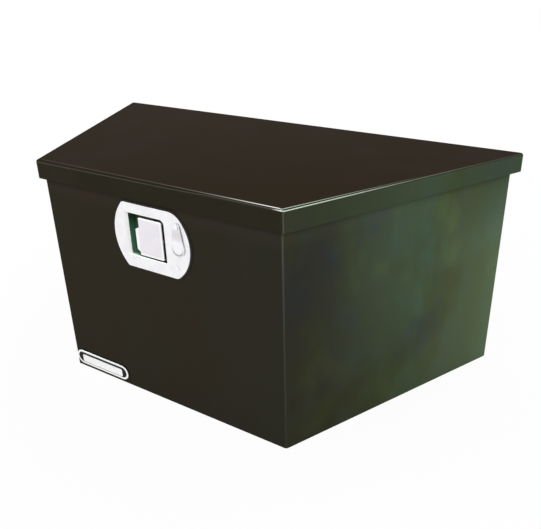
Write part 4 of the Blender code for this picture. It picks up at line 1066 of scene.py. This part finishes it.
def makeLockCover():
    front, back = cover["front"], cover["back"]
    foot = disc("coverDisc", cover["radius"], lockCentre, front, back, sides=72)
    ear = disc("coverEar", cover["ear"], coverPivot, front, back)
    piece = hull("lockCover", foot, ear)
    roundEdges(piece, atDepth(front), cover["edge"])
    # a shallow pressed dome over the keyhole
    openMesh(
        piece, "FACE", lambda face: face.normal.y < -level and face.calc_area() > cover["wideFace"]
    )
    bpy.ops.mesh.inset(thickness=cover["domeMargin"], depth=0)
    bpy.ops.mesh.inset(thickness=cover["domeSlope"], depth=cover["domeRise"])
    closeMesh()
    hole = disc("coverRivetHole", cover["hole"], coverPivot, front - overrun, back + overrun, sides=40)
    cut(piece, hole)
    finishPiece(piece, "lock_cover", coverSteel)
    print("lock cover done")


badge = {
    "x": -0.169643,
    "z": 0.0225,
    "length": 0.134,
    "height": 0.030,
    "front": -0.2198,
    "back": -0.2173,
    "rim": 0.004,
    "edge": 0.0004,
    "channelDepth": 0.001,
    "barLength": 0.104,
    "barLow": 0.0126,
    "barHigh": 0.0284,
    "barCorner": 0.003,
}


def pillSheet(name, inset, front, back):
    radius = badge["height"] / 2 - inset
    reach = (badge["length"] - badge["height"]) / 2
    ends = [
        disc(f"{name}{side}", radius, (badge["x"] + side * reach, badge["z"]), front, back, sides=72)
        for side in (-1, 1)
    ]
    return hull(name, *ends)


def makeBadge():
    front = badge["front"]
    plate = pillSheet("badgePlate", 0.0, front, badge["back"])
    roundEdges(plate, atDepth(front), badge["edge"], segments=3)
    depth = badge["channelDepth"]
    channel = pillSheet("channel", badge["rim"], front - depth, front + depth)
    reach = badge["barLength"] / 2
    low = (badge["x"] - reach, front - 2 * depth, badge["barLow"])
    island = block("island", low, (badge["x"] + reach, front + 2 * depth, badge["barHigh"]))
    roundEdges(island, lambda edge: along(edge, yAxis), badge["barCorner"])
    cut(channel, island)
    cut(plate, channel)
    finishPiece(plate, "badge_plate", badgeSteel)
    print("badge done")


spring = {
    "x": -0.03715,
    "y": -0.1910,
    "z": 0.31795,
    "radius": 0.0036,
    "wire": 0.00055,
    "wireSides": 12,
    "pitch": 0.0038125,
    "turns": 8,
    "steps": 24,
    "ends": (-0.0377, -0.0061),
}


def makeSpring():
    # one wire ring screwed round the bolt's line
    bpy.ops.object.select_all(action="DESELECT")
    bpy.ops.mesh.primitive_circle_add(
        vertices=spring["wireSides"], radius=spring["wire"], location=(0, spring["radius"], 0)
    )
    coil = settle(bpy.context.object, "returnSpring")
    modify(
        coil,
        "SCREW",
        axis="X",
        angle=2 * math.pi,
        screw_offset=spring["pitch"],
        iterations=spring["turns"],
        steps=spring["steps"],
        render_steps=spring["steps"],
    )
    openMesh(coil, "EDGE", lambda edge: edge.is_boundary)
    bpy.ops.mesh.fill_holes(sides=0)
    bpy.ops.mesh.select_all(action="SELECT")
    bpy.ops.mesh.normals_make_consistent(inside=False)
    closeMesh()
    coil.location = (spring["x"], spring["y"], spring["z"])
    settle(coil, "returnSpring")
    dressPiece(coil, "bolt_spring", brightSteel, angle=60)
    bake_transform(coil)
    print("spring done")


lidPaint = paintMaterial("lidPaint", True)
tubPaint = paintMaterial("tubPaint", False)
plateSteel = metalMaterial(
    "plateSteel", (0.93, 0.93, 0.94), (0.88, 0.86, 0.89), 0.34, uprightGrain, 0.7, trayLightAndShade
)
paddleSteel = metalMaterial(
    "paddleSteel", (0.86, 0.82, 0.87), (0.81, 0.79, 0.84), 0.34, uprightGrain, 0.7, paddleHighlightAndShade
)
coverSteel = metalMaterial(
    "coverSteel", (0.93, 0.92, 0.94), (0.88, 0.86, 0.89), 0.30, uprightGrain, 0.6, coverPaintedShade
)
rivetSteel = metalMaterial("rivetSteel", (0.95, 0.95, 0.95), (0.90, 0.88, 0.91), 0.30, evenGrain, 0.5)
pinSteel = metalMaterial("pinSteel", (0.10, 0.11, 0.10), (0.07, 0.08, 0.07), 0.40, uprightGrain, 0.6)
badgeSteel = metalMaterial(
    "badgeSteel", (0.95, 0.95, 0.95), (0.90, 0.91, 0.90), 0.28, levelGrain, 0.7, badgeTint
)
zincPlate = metalMaterial("zincPlate", (0.62, 0.63, 0.64), (0.48, 0.49, 0.50), 0.36)
brightSteel = metalMaterial("brightSteel", (0.72, 0.73, 0.74), (0.62, 0.63, 0.64), 0.18)
brassMetal = metalMaterial("brassMetal", (0.72, 0.52, 0.22), (0.58, 0.40, 0.16), 0.28)
sealRubber = plainMaterial("sealRubber", (0.004, 0.005, 0.004), (0.009, 0.009, 0.008), 0.78)
tubeEnamel = plainMaterial(
    "tubeEnamel", (0.010, 0.010, 0.010), (0.016, 0.016, 0.017), 0.32, scale=50.0, coat=0.4
)
socketPlastic = plainMaterial("socketPlastic", (0.020, 0.020, 0.021), (0.032, 0.032, 0.033), 0.55)

# nodes whose CAD shape is right: a copy with its edges rounded by this width
refined = {
    "bolt_housing": (0.0002, zincPlate),
    "latch_bolt": (0.0004, zincPlate),
    "latch_clamp": (0.0003, zincPlate),
    "striker_bracket": (0.0004, zincPlate),
    "lock_cam": (0.0003, zincPlate),
    "lock_nut": (0.0003, brassMetal),
    "lock_plug": (0.0002, brassMetal),
    "lock_housing": (0.0002, rivetSteel),
    "cover_rivet": (0.0002, rivetSteel),
    "lock_rivet": (0.0002, rivetSteel),
    "floor_pan": (0.0004, tubPaint),
    "rim_frame": (0.0003, tubPaint),
    "lid_stiffener": (0.0002, lidPaint),
    "paddle_pivot_pin": (0.0003, pinSteel),
    "hinge_pin": (0.0003, brightSteel),
}
for number in range(1, 5):
    refined[f"latch_nut_{number}"] = (0.0003, zincPlate)
strutPieces = {
    "tub_arm": (0.0004, zincPlate),
    "lid_arm": (0.0004, zincPlate),
    "tub_stud": (0.0002, brightSteel),
    "lid_stud": (0.0002, brightSteel),
    "tube": (0.0003, tubeEnamel),
    "rod": (0.0002, brightSteel),
    "tube_socket": (0.0004, socketPlastic),
    "rod_socket": (0.0004, socketPlastic),
}
for side in ("left", "right"):
    for ending, treatment in strutPieces.items():
        refined[f"{side}_strut_{ending}"] = treatment

# nodes whose CAD mesh stays as it is
kept = {"hinge_body_leaf": zincPlate, "hinge_lid_leaf": zincPlate, "rim_seal": sealRubber}


def refineNodes():
    for name, (width, material) in refined.items():
        piece = copyNode(name, name + "Shape")
        soften(piece, width, angle=40)
        openWhole(piece)
        bpy.ops.mesh.dissolve_degenerate(threshold=sliver)
        closeMesh()
        finishPiece(piece, name, material)
    for name, material in kept.items():
        nodes[name].data.materials.clear()
        nodes[name].data.materials.append(material)
    print("small pieces done")


room = {
    "ambient": 0.55,
    "floorSize": 14.0,
    "floorZ": -0.0002,
    "floorColour": (0.88, 0.88, 0.88),
    "floorPatch": (0.87, 0.87, 0.87),
    "floorPatches": 1.5,
    "floorRoughness": 0.9,
    "whiteShare": 0.95,
    "shadowReach": 1.7,
    "shadowEdge": 0.45,
    "aim": (0, 0, 0.25),
    "lamps": {
        "key": ((1.5, -1.8, 2.1), 1.5, 26.0),
        "fill": ((-1.9, -1.6, 1.7), 1.6, 24.0),
        "rear": ((0.2, 1.7, 2.7), 1.6, 26.0),
    },
}


def showsBackground(tree):
    # 1 for what the camera sees, straight or by a mirror or glass, and 0 for the light
    path = tree.nodes.new("ShaderNodeLightPath")
    seen = calculate(tree, "ADD", path.outputs["Is Camera Ray"], path.outputs["Is Glossy Ray"])
    seen = calculate(tree, "ADD", seen, path.outputs["Is Transmission Ray"])
    return calculate(tree, "MINIMUM", seen, 1.0)


def makeWorld():
    world = bpy.data.worlds.new("studio")
    bpy.context.scene.world = world
    world.use_nodes = True
    tree = world.node_tree
    background = tree.nodes["Background"]
    background.inputs["Color"].default_value = (1, 1, 1, 1)
    strength = tree.nodes.new("ShaderNodeMapRange")
    strength.inputs["To Min"].default_value = room["ambient"]
    strength.inputs["To Max"].default_value = 1.0
    link(tree, showsBackground(tree), strength.inputs["Value"])
    link(tree, strength.outputs["Result"], background.inputs["Strength"])
    bpy.context.scene.view_settings.view_transform = "Standard"


def makeFloor():
    bpy.ops.object.select_all(action="DESELECT")
    bpy.ops.mesh.primitive_plane_add(size=room["floorSize"], location=(0, 0, room["floorZ"]))
    floor = settle(bpy.context.object, "floor")
    material, tree, shader = newMaterial("floorPaper")
    tone = mixColour(tree, patches(tree, room["floorPatches"]), room["floorColour"], room["floorPatch"])
    link(tree, tone, shader.inputs["Base Color"])
    shader.inputs["Roughness"].default_value = room["floorRoughness"]
    shader.inputs["Specular IOR Level"].default_value = 0.0
    glow = tree.nodes.new("ShaderNodeEmission")
    glow.inputs["Strength"].default_value = 1.0
    whiten = tree.nodes.new("ShaderNodeMixShader")
    # near the box the paper keeps the soft shadow, further off it is plain white
    coordinates = tree.nodes.new("ShaderNodeTexCoord")
    away = tree.nodes.new("ShaderNodeVectorMath")
    away.operation = "LENGTH"
    link(tree, coordinates.outputs["Object"], away.inputs[0])
    distance = times(tree, away.outputs["Value"], 1 / room["shadowReach"])
    white = ramp(tree, distance, [(room["shadowEdge"], room["whiteShare"]), (1.0, 1.0)])
    link(tree, times(tree, showsBackground(tree), white), whiten.inputs["Fac"])
    link(tree, shader.outputs[0], whiten.inputs[1])
    link(tree, glow.outputs[0], whiten.inputs[2])
    link(tree, whiten.outputs[0], tree.nodes["Material Output"].inputs["Surface"])
    floor.data.materials.append(material)


def placed(name, data, matrix):
    holder = bpy.data.objects.new(name, data)
    bpy.context.scene.collection.objects.link(holder)
    holder.matrix_world = matrix
    return holder


def makeLamps():
    for name, (spot, size, power) in room["lamps"].items():
        lamp = bpy.data.lights.new(name, "AREA")
        lamp.size = size
        lamp.energy = power
        turn = (Vector(room["aim"]) - Vector(spot)).to_track_quat("-Z", "Y")
        placed(name, lamp, Matrix.Translation(spot) @ turn.to_matrix().to_4x4())


view = {
    "place": (0.65887, -0.87719, 0.70883),
    "yaw": 30.8701,
    "pitch": -24.8426,
    "roll": -0.3769,
    "focal": 620.944,
    "centre": (297.397, 254.500),
    "picture": (541, 529),
}


def makeCamera():
    camera = bpy.data.cameras.new("photoCamera")
    camera.sensor_fit = "HORIZONTAL"
    camera.sensor_width = 36.0
    wide, high = view["picture"]
    camera.lens = view["focal"] * camera.sensor_width / wide
    camera.shift_x = (wide / 2 - view["centre"][0]) / wide
    camera.shift_y = (view["centre"][1] - high / 2) / wide
    turn = (
        Matrix.Rotation(math.radians(view["yaw"]), 4, "Z")
        @ Matrix.Rotation(math.radians(90 + view["pitch"]), 4, "X")
        @ Matrix.Rotation(math.radians(view["roll"]), 4, "Z")
    )
    bpy.context.scene.camera = placed("photoCamera", camera, Matrix.Translation(view["place"]) @ turn)


makeTub()
makeLid()
makeGasket()
makeLatchPlate()
makePaddle()
makeLockCover()
makeBadge()
makeSpring()
refineNodes()
makeWorld()
makeFloor()
makeLamps()
makeCamera()
print("scene done")
